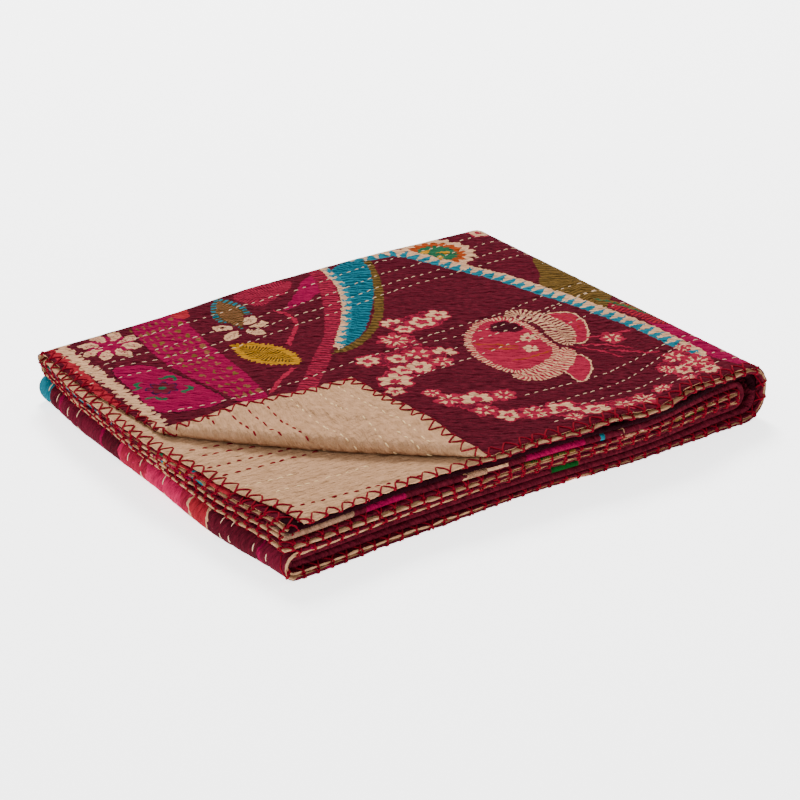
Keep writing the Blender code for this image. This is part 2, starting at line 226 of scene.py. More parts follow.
# How far each edge lies inside its nominal line, in millimetres, at five places along it
LEFT_INSET = {
    # by course and ply: back, mid-back, middle, mid-front, front
    (1, 1): (0, -4, 0, 3, 4),
    (1, 2): (-2, -10, -12, -5, 9),
    (1, 3): (-2, -9, -11, -7, 2),
    (1, 4): (-1, -8, -11, -8, 0),
    (2, 4): (0, -8, -10, -8, -1),
    (2, 3): (1, -7, -10, -8, -2),
    (2, 2): (1, -6, -9, -9, -3),
    (2, 1): (2, -5, -8, -9, -4),
    "turn": (6, 1, 0, -3, 3),
}
FRONT_INSET = {
    # by course: left, mid-left, middle, mid-right, right
    "ply 1": {
        1: (2, 2, -1, -8.5, 3),
        2: (-2, 1, 1, -3, 4),
        3: (-3, 1, 2, -3, 3),
        4: (-2, 3, 6, 2, 3),
    },
    "ply 2": {
        1: (-3, 2, -4, -10, 1),
        2: (0, 3, 1, -4, 5),
        3: (-1, 3, 3, -2, 4),
        4: (0, 3, 5, 2, 4),
    },
    "fold": {
        1: (-1, 3, 0, -6, 7),
        2: (1, 4, 1, -5, 7),
        3: (2, 5, 4, 0, 6),
        4: (3, 5, 4, 1, 6),
    },
}
BACK_INSET = {
    # by course: left, mid-left, middle, mid-right, right
    1: (5, 6, 1, -1, 0),
    2: (3, 1, 2, 1, 1),
    3: (0, 2, 1, 3, 2),
    4: (2, 0, 1, 1, 3),
}

HALF_LENGTH = PILE_LENGTH / 2
HALF_WIDTH = PILE_WIDTH / 2
RIGHT_START = HALF_LENGTH + RIGHT_EDGE_PROUD - RIGHT_SHOULDER - OUTER_FOLD - QUILT_HALF
LEFT_START = -HALF_LENGTH - LEFT_TURN_PROUD + SMALL_TURN + OUTER_FOLD + QUILT_HALF
BACK_START = HALF_WIDTH - OUTER_FOLD - QUILT_HALF
FRONT_START = -HALF_WIDTH + SMALL_FOLD + QUILT_HALF
FLOOR_LIFT = QUILT_HALF - SMALL_FOLD

# The parts that the flat sheet's length and width are made of, in order, and their lengths
ALONG = [
    ("course", 1, RIGHT_START + HALF_LENGTH),
    ("outer turn", 0, math.pi * RIGHT_SHOULDER + RIGHT_DROP - 2 * RIGHT_SHOULDER),
    ("course", 4, RIGHT_START - LEFT_START),
    ("left turn", 0, math.pi * SMALL_TURN),
    ("course", 3, RIGHT_START - INNER_TURN_INSET - LEFT_START),
    ("inner turn", 0, math.pi * SMALL_TURN),
    ("course", 2, RIGHT_START - INNER_TURN_INSET + HALF_LENGTH),
]
ACROSS = [
    ("ply", 1, BACK_START + HALF_WIDTH),
    ("outer fold", 0, math.pi * OUTER_FOLD),
    ("ply", 4, BACK_START - FRONT_START),
    ("front fold", 0, math.pi * SMALL_FOLD),
    ("ply", 3, BACK_START - INNER_FOLD_INSET - FRONT_START),
    ("inner fold", 0, math.pi * SMALL_FOLD),
    ("ply", 2, BACK_START - INNER_FOLD_INSET + HALF_WIDTH),
]
# The courses before and after each turn, and whether it is at their right (1) or left (0) ends
TURN_ENDS = {"outer turn": (1, 4, 1.0), "left turn": (4, 3, 0.0), "inner turn": (3, 2, 1.0)}
FLAT_LENGTH = sum(part[2] for part in ALONG)
FLAT_WIDTH = sum(part[2] for part in ACROSS)
print("flat sheet", round(FLAT_LENGTH, 3), "by", round(FLAT_WIDTH, 3), "m")

# %% [markdown]
# ## Small helpers for the folding rule
# The rule is built from a few small steps: blending two values, easing a step so that it starts
# and ends gently, reading a table row at a share of its length, and finding which course or turn
# a distance falls in.

# %% Helpers for the folding rule
def blend(a, b, share):
    """The value that lies a share of the way from a to b."""
    return a + (b - a) * share


def ease(share):
    """A step from 0 to 1 that starts and ends gently."""
    share = min(max(share, 0.0), 1.0)
    return share * share * (3 - 2 * share)


def along_row(places, share):
    """A row's value in metres at a share of the way from its first place to its last."""
    reach = min(max(share, 0.0), 1.0) * (len(places) - 1)
    first = min(int(reach), len(places) - 2)
    return blend(places[first], places[first + 1], ease(reach - first)) * MM


def find(route, distance):
    """The part of a route that a distance falls in, and the share of it passed."""
    for kind, number, length in route[:-1]:
        if distance <= length:
            return kind, number, distance / length
        distance -= length
    kind, number, length = route[-1]
    return kind, number, distance / length


def inset(rows, u):
    """How far an edge lies behind its nominal line where the strip is at u, by its rows."""
    kind, course, share = find(ALONG, u)
    if kind == "course":
        return along_row(rows[course], share if course in (1, 3) else 1 - share)
    before, after, place = TURN_ENDS[kind]
    return blend(along_row(rows[before], place), along_row(rows[after], place), ease(share))


print("front edge of the top ply lies", *in_mm([inset(FRONT_INSET["ply 1"], 0.25)]), "mm in")

# %% [markdown]
# ## Across the strip
# A cut across the four plies looks like a flattened W: ply 1, round the outer back fold to
# ply 4, round the front fold to ply 3, and round the inner back fold to ply 2.
# Each point also gets its outward direction, so that the face can stand on one side of the
# quilt's middle and the backing on the other.

# %% Across the strip
def across_strip(u, v):
    """Where v lies in the strip's section: y, height over its middle, normal, and its ply."""
    kind, ply, share = find(ACROSS, v)
    back = BACK_START - inset(BACK_INSET, u)
    fold_y = FRONT_START + inset(FRONT_INSET["fold"], u)
    inner = back - INNER_FOLD_INSET
    if kind == "ply":
        if ply == 1:
            ends = (-HALF_WIDTH + inset(FRONT_INSET["ply 1"], u), back)
        elif ply == 2:
            ends = (inner, -HALF_WIDTH + inset(FRONT_INSET["ply 2"], u))
        else:
            ends = (back, fold_y) if ply == 4 else (fold_y, inner)
        up = 1.0 if ply in (1, 3) else -1.0
        return blend(*ends, share), PLY_LEVEL[ply] * PLY_PITCH, (0.0, up), ply
    angle = math.pi * share
    if kind == "outer fold":
        normal = (math.sin(angle), math.cos(angle))
        return back + OUTER_FOLD * normal[0], OUTER_FOLD * normal[1], normal, 1 + 3 * share
    if kind == "front fold":
        normal = (-math.sin(angle), -math.cos(angle))
        height = -PLY_PITCH + SMALL_FOLD * normal[1]
        return fold_y + SMALL_FOLD * normal[0], height, normal, 4 - share
    normal = (-math.sin(angle), math.cos(angle))
    return inner - SMALL_FOLD * normal[0], -SMALL_FOLD * normal[1], normal, 3 - share


def turn_at(share):
    """Point and outward normal on the outer right turn, from its top to its bottom."""
    arc = math.pi / 2 * RIGHT_SHOULDER
    straight = RIGHT_DROP - 2 * RIGHT_SHOULDER
    gone = share * (2 * arc + straight)
    dropped = min(max(gone - arc, 0.0), straight)
    angle = (gone - dropped) / RIGHT_SHOULDER
    normal = Vector((math.sin(angle), 0, math.cos(angle)))
    return normal * RIGHT_SHOULDER + Vector((0, 0, straight / 2 - dropped)), normal


def left_turn_x(y):
    """X of the left turn's middle, for a place across."""
    return LEFT_START + along_row(LEFT_INSET["turn"], 0.5 - y / PILE_WIDTH)


def left_end(course, ply, y):
    """X of the free end of a course, for a ply and a place across."""
    place = 0.5 - y / PILE_WIDTH
    low = min(int(ply), 3)
    here = along_row(LEFT_INSET[course, low], place)
    beyond = along_row(LEFT_INSET[course, low + 1], place)
    return -HALF_LENGTH + blend(here, beyond, ply - low)


print("right turn spans", *in_mm([turn_at(0)[0].z - turn_at(1)[0].z]), "mm")

# %% [markdown]
# ## The corner that is turned back
# One corner of the top ply is lifted and laid back over it. The cloth rolls over a soft crease,
# which bows towards the corner, and comes down again to rest on the ply.
# Up to the crease a point stays where it is, on the roll it goes round half a circle, and past
# it the point runs back over the ply.

# %% Sizes and rule of the turned-back corner
CREASE_LEFT = 157 * MM  # from the corner to the crease's ends, along the left and the front
CREASE_FRONT = 156 * MM
CREASE_BULGE = 13 * MM  # of its bow towards the corner
CREASE_END = 0.06  # share of the bow at the crease's ends
CREASE_FLATNESS = 0.7  # under 1 the bow is flat along the middle and round at its ends
ROLL_RADIUS = 4.4 * MM
ROLL_TAPER = 0.5  # how fast the roll gets thinner towards its ends
FLAP_SPREAD = 1.18  # how much the flap's cloth is drawn out past the crease
FLAP_BOW = 9 * MM  # how far its two sides swell out
FLAP_BOW_DEPTH = 25 * MM
FLAP_FALL = 80 * MM  # distance past the roll at which it rests on the ply
FLAP_REST = 1.85 * PLY_PITCH  # height at which it rests
FLAP_CREASE_START = 6 * MM  # distance past the roll at which its soft creases are full
PUFF_FREE = 6 * MM  # the ply under the flap is plain this far from the crease

corner = Vector((-HALF_LENGTH, -HALF_WIDTH, 0))
CREASE_START = corner + Vector((0, CREASE_LEFT, 0))
CREASE_RUN = corner + Vector((CREASE_FRONT, 0, 0)) - CREASE_START
CREASE_LENGTH = CREASE_RUN.length
CREASE_RUN = CREASE_RUN.normalized()
CREASE_OUT = Vector((CREASE_RUN.y, -CREASE_RUN.x, 0))


def past_crease(x, y):
    """How far a point lies along the crease and past it, its share of it, and the bow there."""
    step = Vector((x, y, 0)) - CREASE_START
    share = min(max(step.dot(CREASE_RUN) / CREASE_LENGTH, 0.0), 1.0)
    bow = math.sin(math.pi * blend(CREASE_END, 1 - CREASE_END, share))
    return step.dot(CREASE_RUN), step.dot(CREASE_OUT), share, bow


def turn_back(x, y, offset):
    """A point of the top ply carried over the crease: its place, and how far it has come back."""
    gone, out, share, bow = past_crease(x, y)
    bulge = CREASE_BULGE * bow**CREASE_FLATNESS
    rolled = out - bulge
    if rolled <= 0:
        return Vector((x, y, offset)), 0.0
    radius = ROLL_RADIUS * bow**ROLL_TAPER
    if rolled < math.pi * radius:
        angle = rolled / radius
        reach = radius * math.sin(angle)
        height = radius * (1 - math.cos(angle))
        slope = (math.sin(angle), math.cos(angle))
        returned = 0.0
    else:
        over = rolled - math.pi * radius
        swell = FLAP_BOW * math.sin(2 * math.pi * share) ** 2 * ease(over / FLAP_BOW_DEPTH)
        returned = over * FLAP_SPREAD + swell
        reach = -returned
        height = blend(2 * radius, FLAP_REST, ease(returned / FLAP_FALL))
        slope = (0.0, -1.0)
    place = CREASE_START + CREASE_RUN * gone + CREASE_OUT * (bulge + reach - slope[0] * offset)
    place.z = height + slope[1] * offset
    return place, returned


print("crease is", *in_mm([CREASE_LENGTH]), "mm long")

# %% [markdown]
# ## Height of the pile, its puffs and its loose edges
# Cloth piles never lie quite level: this one is higher in the middle of the back and lower at
# the back left corner, the top ply puffs up between its rows of stitches, and its two free
# edges gape and wave near the right end.

# %% Height of the pile
CROWN = 0.04  # share of the height
BACK_LEFT_SAG = 0.07
LOOSE_EDGE_LIFT = 2.4 * MM
LOOSE_START = -0.1  # shares of the half length, to the right of the middle
LOOSE_FULL = 0.65
LOOSE_END = 0.97
LOOSE_CLOSING = 0.2
LOOSE_DEPTH = 34 * MM
LOOSE_EDGE_WAVE = 0.9 * MM
LOOSE_WAVE_STEP = 8 * MM
QUILT_PUFF = 0.7 * MM
PUFF_PITCH = 19 * MM
PUFF_UNEVEN = 0.25  # share of a puff's height
PUFF_STEP = 17 * MM
PUFF_SHIFT = 2.1  # radians between one row of puffs and the next
PUFF_FADE = {
    # where the puffs end, as a share of the half length or width, and how far in they fade
    "front": dict(at=0.96, over=6 * MM),
    "back": dict(at=0.94, over=12 * MM),
    "left": dict(at=1.0, over=8 * MM),
    "right": dict(at=0.9, over=20 * MM),
}


def pile_height(x, y):
    """Share by which the pile stands higher or lower than its plies' pitch gives."""
    back = ease(0.5 + y / PILE_WIDTH)
    middle = math.cos(math.pi * min(max(x / PILE_LENGTH, -0.5), 0.5))
    left = ease(-2 * x / PILE_LENGTH)
    return 1 + CROWN * back * middle - BACK_LEFT_SAG * back * left


def loose_edge(x, y, ply):
    """How far a loose ply at the front stands off, which is most near the right end."""
    way = x / HALF_LENGTH
    near = ease((way - LOOSE_START) / (LOOSE_FULL - LOOSE_START))
    near *= ease((LOOSE_END - way) / LOOSE_CLOSING)
    front = ease(1 - (y + HALF_WIDTH) / LOOSE_DEPTH)
    if ply == 2:
        return near * front * LOOSE_EDGE_LIFT / 2
    return near * front * (LOOSE_EDGE_LIFT + math.sin(x / LOOSE_WAVE_STEP) * LOOSE_EDGE_WAVE)


def puff(x, y):
    """Height of the top ply between its rows of stitches."""
    rows = (y + HALF_WIDTH) / PUFF_PITCH
    along = 1 - PUFF_UNEVEN + PUFF_UNEVEN * math.sin(x / PUFF_STEP + PUFF_SHIFT * math.floor(rows))
    room = {
        "front": PUFF_FADE["front"]["at"] * HALF_WIDTH + y,
        "back": PUFF_FADE["back"]["at"] * HALF_WIDTH - y,
        "left": PUFF_FADE["left"]["at"] * HALF_LENGTH + x,
        "right": PUFF_FADE["right"]["at"] * HALF_LENGTH - x,
    }
    inside = math.prod(ease(room[side] / PUFF_FADE[side]["over"]) for side in room)
    return QUILT_PUFF * abs(math.sin(math.pi * rows)) * along * inside


print("the pile stands", round(pile_height(0, HALF_WIDTH), 3), "times as high at its back")

# %% [markdown]
# ## Soft creases of the turned-back corner
# The corner is thick quilted cloth, so it doesn't lie flat: a few soft ridges and troughs run
# across it from the crease. Each is a short line in the flat cloth with a height and a width,
# and its cross-section is a smooth bump.

# %% Soft creases
FLAP_CREASES = [
    #    start u, v      end u, v       height     half width, all in millimetres
    dict(start=(92, 40), end=(30, 22), height=2.6, half=11),
    dict(start=(40, 92), end=(18, 60), height=-1.6, half=10),
    dict(start=(120, 12), end=(70, 6), height=-1.5, half=9),
    dict(start=(66, 62), end=(40, 44), height=-1.5, half=11),
    dict(start=(12, 118), end=(4, 88), height=1.4, half=9),
    dict(start=(58, 30), end=(12, 52), height=1.8, half=8),
    dict(start=(104, 22), end=(80, 8), height=1.3, half=7),
    dict(start=(74, 70), end=(58, 42), height=1.3, half=6),
    dict(start=(30, 110), end=(26, 84), height=1.2, half=6),
    dict(start=(84, 30), end=(60, 12), height=-1.2, half=6),
]


def flap_lift(u, v):
    """Height of the soft creases at a point of the turned-back corner."""
    lift = 0.0
    for crease in FLAP_CREASES:
        start = Vector(crease["start"])
        run = Vector(crease["end"]) - start
        step = Vector((u / MM, v / MM)) - start
        share = min(max(step.dot(run) / run.length_squared, 0.0), 1.0)
        away = (step - run * share).length / crease["half"]
        if away < 1:
            lift += crease["height"] * MM * (1 - away * away) ** 2
    return lift


print(len(FLAP_CREASES), "soft creases")

# %% [markdown]
# ## The whole folding rule
# With its pieces made, the rule is short: find the ply, find the course or turn, and place the
# point. `offset` is how far the point stands off the quilt's middle, towards the printed side.

# %% The whole folding rule
def lie(u, v, offset):
    """Where a point of the flat sheet lies in the pile, offset towards the printed side."""
    y, height, normal, ply = across_strip(u, v)
    kind, course, share = find(ALONG, u)
    y += normal[0] * offset
    height += normal[1] * offset
    if kind == "course":
        up = 1 if course in (1, 3) else -1
        free = left_end(course, ply, y) if course in (1, 2) else left_turn_x(y)
        right = RIGHT_START - (INNER_TURN_INSET if course in (2, 3) else 0)
        x = blend(free, right, share) if up > 0 else blend(right, free, share)
        z = COURSE_LEVEL[course] * PLY_PITCH + up * height
    elif kind == "outer turn":
        point, out = turn_at(share)
        point += out * height
        x, z = RIGHT_START + point.x, TURN_LEVEL[kind] * PLY_PITCH + point.z
    else:
        angle = math.pi * share
        if kind == "left turn":
            radius = SMALL_TURN + height
            x = left_turn_x(y) - radius * math.sin(angle)
        else:
            radius = SMALL_TURN - height
            x = RIGHT_START - INNER_TURN_INSET + radius * math.sin(angle)
        z = TURN_LEVEL[kind] * PLY_PITCH - radius * math.cos(angle)
    lift = 0.0
    if (kind, course) == ("course", 1):
        if ply == 1:
            flat, returned = turn_back(x, y, offset)
            if flat.z != offset:
                z += flat.z - offset
                x, y = flat.x, flat.y
                lift = flap_lift(u, v) * ease(returned / FLAP_CREASE_START)
            elif past_crease(x, y)[1] < -PUFF_FREE:
                lift = puff(x, y)
        if ply in (1, 2):
            lift += loose_edge(x, y, ply)
    z = (z + FLOOR_LIFT) * pile_height(x, y) + lift
    return Vector((x - PILE_CENTRE[0], y - PILE_CENTRE[1], z))


print("middle of the top ply at", in_mm(lie(0.18, 0.15, QUILT_HALF)))

# %% [markdown]
# ## Where the rows of stitches run
# Kantha is rows of hand running stitches through all layers. They run along the length, never
# quite straight and never evenly apart, and pull the cloth into shallow valleys.
# Each row is written as the distances across the quilt at a few places along it. The rows that
# aren't seen one by one are laid out by a seeded generator, in groups with wider gaps between.

# %% Rows of running stitches
ROW_STEP = 90 * MM  # places of a row lie this far apart along the quilt
TOP_ROWS = [
    # millimetres across the quilt at each place, and along it to the row's start
    dict(places=(287, 285.5, 283, 291, 292)),
    dict(places=(262, 261, 261.5, 272, 278)),
    dict(places=(256, 243, 246, 256, 260)),
    dict(places=(239, 229.5, 234, 244.5, 246)),
    dict(places=(172, 158.7, 161.5, 155, 162)),
    dict(places=(166, 166, 164, 170.5, 178), start=205),
    dict(places=(136, 137, 137, 146.5, 161), start=215),
    dict(places=(118, 118, 119.2, 127.5, 133), start=170),
    dict(places=(58, 58, 58, 57, 64), start=215),
    dict(places=(38, 38, 38.5, 41, 55), start=205),
    dict(places=(26, 26, 26, 27.5, 32), start=205),
    dict(places=(15, 15, 15, 14, 19), start=205),
]
GROUP_ROWS = (2, 4)  # rows in a group
GROUP_PITCH = (10, 14)  # millimetres between them
GROUP_GAP = (24, 40)  # and between groups
ROWS_INSIDE = (4, 12)  # millimetres from the top ply, and from the sheet's far edge
ROW_WAVER = 3 * MM
TOP_ROW_WAVER = ROW_WAVER * 0.4
WAVER_LENGTH = 0.16  # metres
TOP_WAVES = 3  # a row of the top ply wavers this many times as often
ROW_SEED = 90  # sets the waver of each row apart from the next

rows_random = random.Random(11)
FOLDED_ROWS = []  # distances across at which rows start on the plies below the top one
across = ACROSS[0][2] / MM + ROWS_INSIDE[0]
while across < FLAT_WIDTH / MM - ROWS_INSIDE[1]:
    for _ in range(rows_random.randint(*GROUP_ROWS)):
        FOLDED_ROWS.append(across * MM)
        across += rows_random.uniform(*GROUP_PITCH)
    across += rows_random.uniform(*GROUP_GAP)


def row_across(row, u):
    """How far across the quilt a row of the top ply lies at u."""
    reach = min(u / ROW_STEP, len(row["places"]) - 1.001)  # just short of the last place
    first = int(reach)
    straight = blend(row["places"][first], row["places"][first + 1], ease(reach - first)) * MM
    place = Vector((u / WAVER_LENGTH * TOP_WAVES, straight * ROW_SEED, 0))
    return straight + TOP_ROW_WAVER * noise.noise(place)


# Rows seen on the backing where the corner is turned back, from end to end: each end's distance
# along and across the quilt, in millimetres
RED_BACK_ROWS = [
    ((2, 112), (15, 110)),
    ((3, 99), (30, 92)),
    ((2, 88), (40, 79)),
    ((4, 74), (53, 67)),
    ((12, 1096), (40, 1105)),
    ((13, 1107), (51, 1119)),
    ((5, 1124), (61, 1134)),
    ((7, 1138), (72, 1148)),
    ((4, 1197), (91, 1213)),
]
UNDYED_BACK_ROWS = [
    ((2, 30), (45, 31)),
    ((50, 51), (78, 48)),
    ((6, 15), (110, 14)),
    ((60, 31), (104, 34)),
    ((10, 54), (48, 51)),
    ((84, 22), (128, 20)),
    ((66, 66), (90, 60)),
    ((8, 1158), (40, 1164)),
    ((14, 1176), (80, 1184)),
]
ROW_END_SLACK = 0.02  # share of a row by which its last stitch may pass its end


def back_across(row, u):
    """How far across the quilt a row of the backing lies at u, or None past its ends."""
    (first_u, first_v), (last_u, last_v) = row
    share = (u / MM - first_u) / (last_u - first_u)
    if -ROW_END_SLACK <= share <= 1 + ROW_END_SLACK:
        return blend(first_v, last_v, share) * MM
    return None


def rows_at(u):
    """All rows' distances across, in order, at u."""
    top = [row_across(row, u) for row in TOP_ROWS if u >= row.get("start", 0) * MM]
    back = [back_across(row, u) for row in RED_BACK_ROWS + UNDYED_BACK_ROWS]
    below = [
        v + ROW_WAVER * noise.noise(Vector((u / WAVER_LENGTH, v * ROW_SEED, 3)))
        for v in FOLDED_ROWS
    ]
    return sorted(top + [v for v in back if v] + below)


print(len(TOP_ROWS), "rows on the top ply and", len(rows_at(0.02)), "rows in all near the corner")

# %% [markdown]
# ## Relief of the quilt
# Three things shape the surface between the folds. The rows pinch the two cloths together, the
# whip stitch along the edges pinches them at every bite so that the edge opens in small lens
# shapes between, and old washed cotton puckers all over where the stitches gather it.
# These are added as a distance off the quilt's middle before the sheet is folded, so they
# follow every fold. So are two looser forms: the free edges wave, and the front edges of the
# two top plies stand a little off the pile near its right end.
# Each edge is round, and the printed cloth ends somewhere on that round, where the backing
# starts. How far it is tucked round decides how much print or backing shows from the side.

# %% Relief: where the stitches pinch the cloths
PINCH_WIDTH = 1.7 * MM
PINCH_DEPTH = 0.5  # share of the thickness
EDGE_PITCH = 10.684 * MM  # of the whip stitch
EDGE_DEPTH = 7.4 * MM  # from the edge to its holes
EDGE_OPEN = 1.0  # shares of the thickness between two bites and at a bite
EDGE_SHUT = 0.42


def edge_distance(u, v):
    """Distance to the nearest edge of the flat sheet, and the distance along that edge."""
    return min((u, v), (FLAT_LENGTH - u, v), (v, u), (FLAT_WIDTH - v, u))


def thickness(u, v, rows):
    """Half the quilt's thickness where the rows and the whip stitch pinch it."""
    half = QUILT_HALF
    near = min(abs(v - row) for row in rows)
    half *= 1 - PINCH_DEPTH * math.exp(-((near / PINCH_WIDTH) ** 2))
    inward, along = edge_distance(u, v)
    if inward < EDGE_DEPTH:
        open_share = abs(math.cos(math.pi * along / EDGE_PITCH))
        half *= blend(blend(EDGE_SHUT, EDGE_OPEN, open_share), 1.0, ease(inward / EDGE_DEPTH))
    return half


print("thickness in mm on a row", *in_mm([2 * thickness(0.2, 0.2, [0.2])]),
      "and off it", *in_mm([2 * thickness(0.2, 0.2, [0.1])]))

# %% Relief: the rolled edge
EDGE_ROUND = 1.1 * MM  # radius of the edge, where the backing meets the printed cloth
ROLLED_SHARE = {
    # flat length of each cloth on the round of the edge, in radii
    "face": math.radians(60),
    "backing": math.radians(120),
}
# How far round the edges the printed cloth ends, in degrees over the quilt's middle
FRONT_TUCK = {
    # by course: at the front edge of the first ply and of the second
    1: (12, 48),
    2: (15, -50),
    3: (-50, 55),
    4: (-70, 55),
}
FRONT_HIDDEN = {1: -22, 2: -24, 3: -30, 4: -48}  # further right the front edges show more print
TURN_TUCK = {"outer turn": -32, "left turn": 62, "inner turn": -22}  # at the front of the turns
HIDDEN_FROM = 0.28  # share of a course from its left end, and over how much it changes
HIDDEN_OVER = 0.2
LEFT_TUCK = {1: (0, -45, -20, 45), 2: (40, -45, 20, -35)}  # by course, for quarters of the width
TUCK_WAVE = 48  # degrees
TUCK_STEP = 12 * MM


def tuck(u, v, along):
    """Degrees over the quilt's middle at which the printed cloth ends on the rounded edge."""
    kind, course, share = find(ALONG, u)
    quarter = min(int(4 * v / FLAT_WIDTH), 3)
    if min(u, FLAT_LENGTH - u) < min(v, FLAT_WIDTH - v):
        base = LEFT_TUCK[1 if u < FLAT_LENGTH / 2 else 2][quarter]
    elif kind == "course":
        rightward = share if course in (1, 3) else 1 - share
        hidden = ease((rightward - HIDDEN_FROM) / HIDDEN_OVER)
        base = blend(FRONT_TUCK[course][int(quarter > 0)], FRONT_HIDDEN[course], hidden)
    else:
        base = TURN_TUCK[kind]
    return base + TUCK_WAVE * noise.noise(Vector((along / TUCK_STEP, u + v, 7)))


def rolled(u, v, side):
    """A point near an edge, rolled round it: its flat place, and its share of the thickness."""
    place, turn = [u, v], 1.0
    for axis, length in ((0, FLAT_LENGTH), (1, FLAT_WIDTH)):
        inward = min(place[axis], length - place[axis])
        if inward >= EDGE_ROUND:
            continue
        end = math.radians(tuck(u, v, place[1 - axis]))
        share = (EDGE_ROUND - inward) / EDGE_ROUND / ROLLED_SHARE[side]
        angle = math.pi / 2 - share * (math.pi / 2 - end if side == "face" else math.pi / 2 + end)
        inward = EDGE_ROUND * (1 - math.cos(angle))
        place[axis] = inward if place[axis] < length / 2 else length - inward
        turn = min(turn, math.sin(angle))
    return place[0], place[1], turn


print("on one edge the face ends at", round(rolled(0.0, 0.6, "face")[2], 2), "of the thickness")

# %% Relief: puckers and loose edges
PUCKERS = [
    # length along and across the rows, height, all in millimetres
    dict(along=9.5, across=5.0, height=0.62),
    dict(along=4.4, across=3.4, height=0.42),
]
FRONT_LIFTS = [
    # where the free edges of the top two plies stand off the pile, in millimetres
    dict(at=178, reach=26, height=1.5),
    dict(at=236, reach=24, height=2.6),
    dict(at=306, reach=36, height=3.4),
]
FRONT_LIFT_DEPTH = 24 * MM  # how far in from the edge they are lifted
EDGE_WAVE = 0.75 * MM  # height of the waves along the free edges
EDGE_WAVE_STEP = 13 * MM
EDGE_WAVE_DEPTH = 16 * MM
INSIDE_PUCKER = 0.3  # share of the puckers where the plies lie on each other
TOP_FADE = 8 * MM  # over which they fade at the ends of the top ply
SECOND_SHOWN = 0.17  # metres from the corner in which the second ply shows past the flap
SECOND_FADE = 0.03


def loose_share(u, v):
    """How freely the cloth can pucker: fully where it lies open, a little inside the pile."""
    open_top = ease((ACROSS[0][2] - v) / TOP_FADE) * ease((ALONG[0][2] - u) / TOP_FADE)
    across_share = ease((v - FLAT_WIDTH + SECOND_SHOWN) / SECOND_FADE)
    second = across_share * ease((SECOND_SHOWN - u) / SECOND_FADE)
    return blend(INSIDE_PUCKER, 1.0, max(open_top, second))


def front_lift(u, v):
    """How far the front edges of the two uppermost plies are raised off the pile at u."""
    inward = min(v, FLAT_WIDTH - v)
    if u > ALONG[0][2] or inward > FRONT_LIFT_DEPTH:
        return 0.0
    height = 0.0
    for row in FRONT_LIFTS:
        height += row["height"] * MM * ease(1 - abs(u / MM - row["at"]) / row["reach"])
    height *= ease(1 - inward / FRONT_LIFT_DEPTH)
    return height if v < FLAT_WIDTH / 2 else -height  # the second ply lies face down


def pucker(u, v):
    """Height of the small puckers, the waves of the edges and the lifted front edges."""
    height = 0.0
    for wave in PUCKERS:
        place = Vector((u / wave["along"], v / wave["across"], 0)) / MM
        height += wave["height"] * MM * noise.noise(place)
    inward, along = edge_distance(u, v)
    place = Vector((along / EDGE_WAVE_STEP, round(along / FLAT_LENGTH), inward))
    edge = EDGE_WAVE * noise.noise(place)
    edge *= ease(1 - inward / EDGE_WAVE_DEPTH)
    return height * loose_share(u, v) + edge + front_lift(u, v)


print("pucker at three places in mm", in_mm([pucker(0.1 * n, 0.1) for n in (1, 2, 3)]))

# %% [markdown]
# ## The two cloths
# Each cloth is one open sheet. It starts as a flat grid whose columns and rows are moved to
# where detail is wanted: close together where the cloth is seen from near, wide apart inside
# the pile. Its edge is rounded by a few extra rows, and the backing's reach round past the
# middle, as a backing that is turned over the edge does. Then every point is folded by `lie`.
# While the sheet is flat, that rounded edge lies unrolled beyond it.
# The flat distances are kept as a UV map in metres, so that print and weave follow the cloth.

# %% Grid lines of the flat sheets
EDGE_STEPS = {"face": 3, "backing": 4}  # grid lines round the edge
BORDER_LINES = (2.2 * MM, 4.2 * MM, 7 * MM)  # distances of grid lines from an edge
CLOSEST_LINES = 0.6 * MM  # a line nearer than this to the one before is left out
CELLS = {
    # sizes of the cells in millimetres, for the parts of each route in turn
    "face": dict(along=(1.7, 2.8, 15, 1.6, 15, 2, 15), across=(1.7, 2, 21, 1, 21, 1.4, 21)),
    "backing": dict(along=(15, 4, 15, 2, 15, 3, 15), across=(15, 3, 21, 1, 21, 2, 21)),
}
BACKING_FINE = 0.172  # metres from its two top corners within which the backing is fine
BACKING_CELL = 1.4 * MM


def grid_lines(side, route, sizes, fine_start, fine_end):
    """Where a sheet has its grid lines along a route, finer for given lengths at its two ends."""
    length = sum(part[2] for part in route)
    inner = set(BORDER_LINES) | {length - line for line in BORDER_LINES}
    gone = 0.0
    for (_, _, part), size in zip(route, sizes):
        count = max(1, round(part / MM / size))
        inner |= {gone + part * i / count for i in range(count + 1)}
        gone += part
    for start, end in ((EDGE_ROUND, fine_start), (length - fine_end, length - EDGE_ROUND)):
        count = int((end - start) / BACKING_CELL)
        inner |= {start + (end - start) * i / count for i in range(1, count)}
    lines, last = [], EDGE_ROUND
    for line in sorted(inner):
        if line - last > CLOSEST_LINES and length - line > EDGE_ROUND + CLOSEST_LINES:
            lines.append(line)
            last = line
    steps = EDGE_STEPS[side]
    rim = [EDGE_ROUND * (1 - ROLLED_SHARE[side] * (1 - step / steps)) for step in range(steps + 1)]
    return rim + lines + [length - line for line in reversed(rim)]


LINES = {
    "face": (
        grid_lines("face", ALONG, CELLS["face"]["along"], 0, 0),
        grid_lines("face", ACROSS, CELLS["face"]["across"], 0, 0),
    ),
    "backing": (
        grid_lines("backing", ALONG, CELLS["backing"]["along"], BACKING_FINE, 0),
        grid_lines("backing", ACROSS, CELLS["backing"]["across"], BACKING_FINE, BACKING_FINE),
    ),
}
for side, (columns, rows) in LINES.items():
    print(side, len(columns), "by", len(rows), "lines")

# %% The two cloths
BORDER_DEPTH = BORDER_LINES[-1] + 0.1 * MM
LONG_BORDER_EDGE = 5 * MM  # along the border, longer mesh edges than this are cut
BORDER_CELL = 2.7 * MM


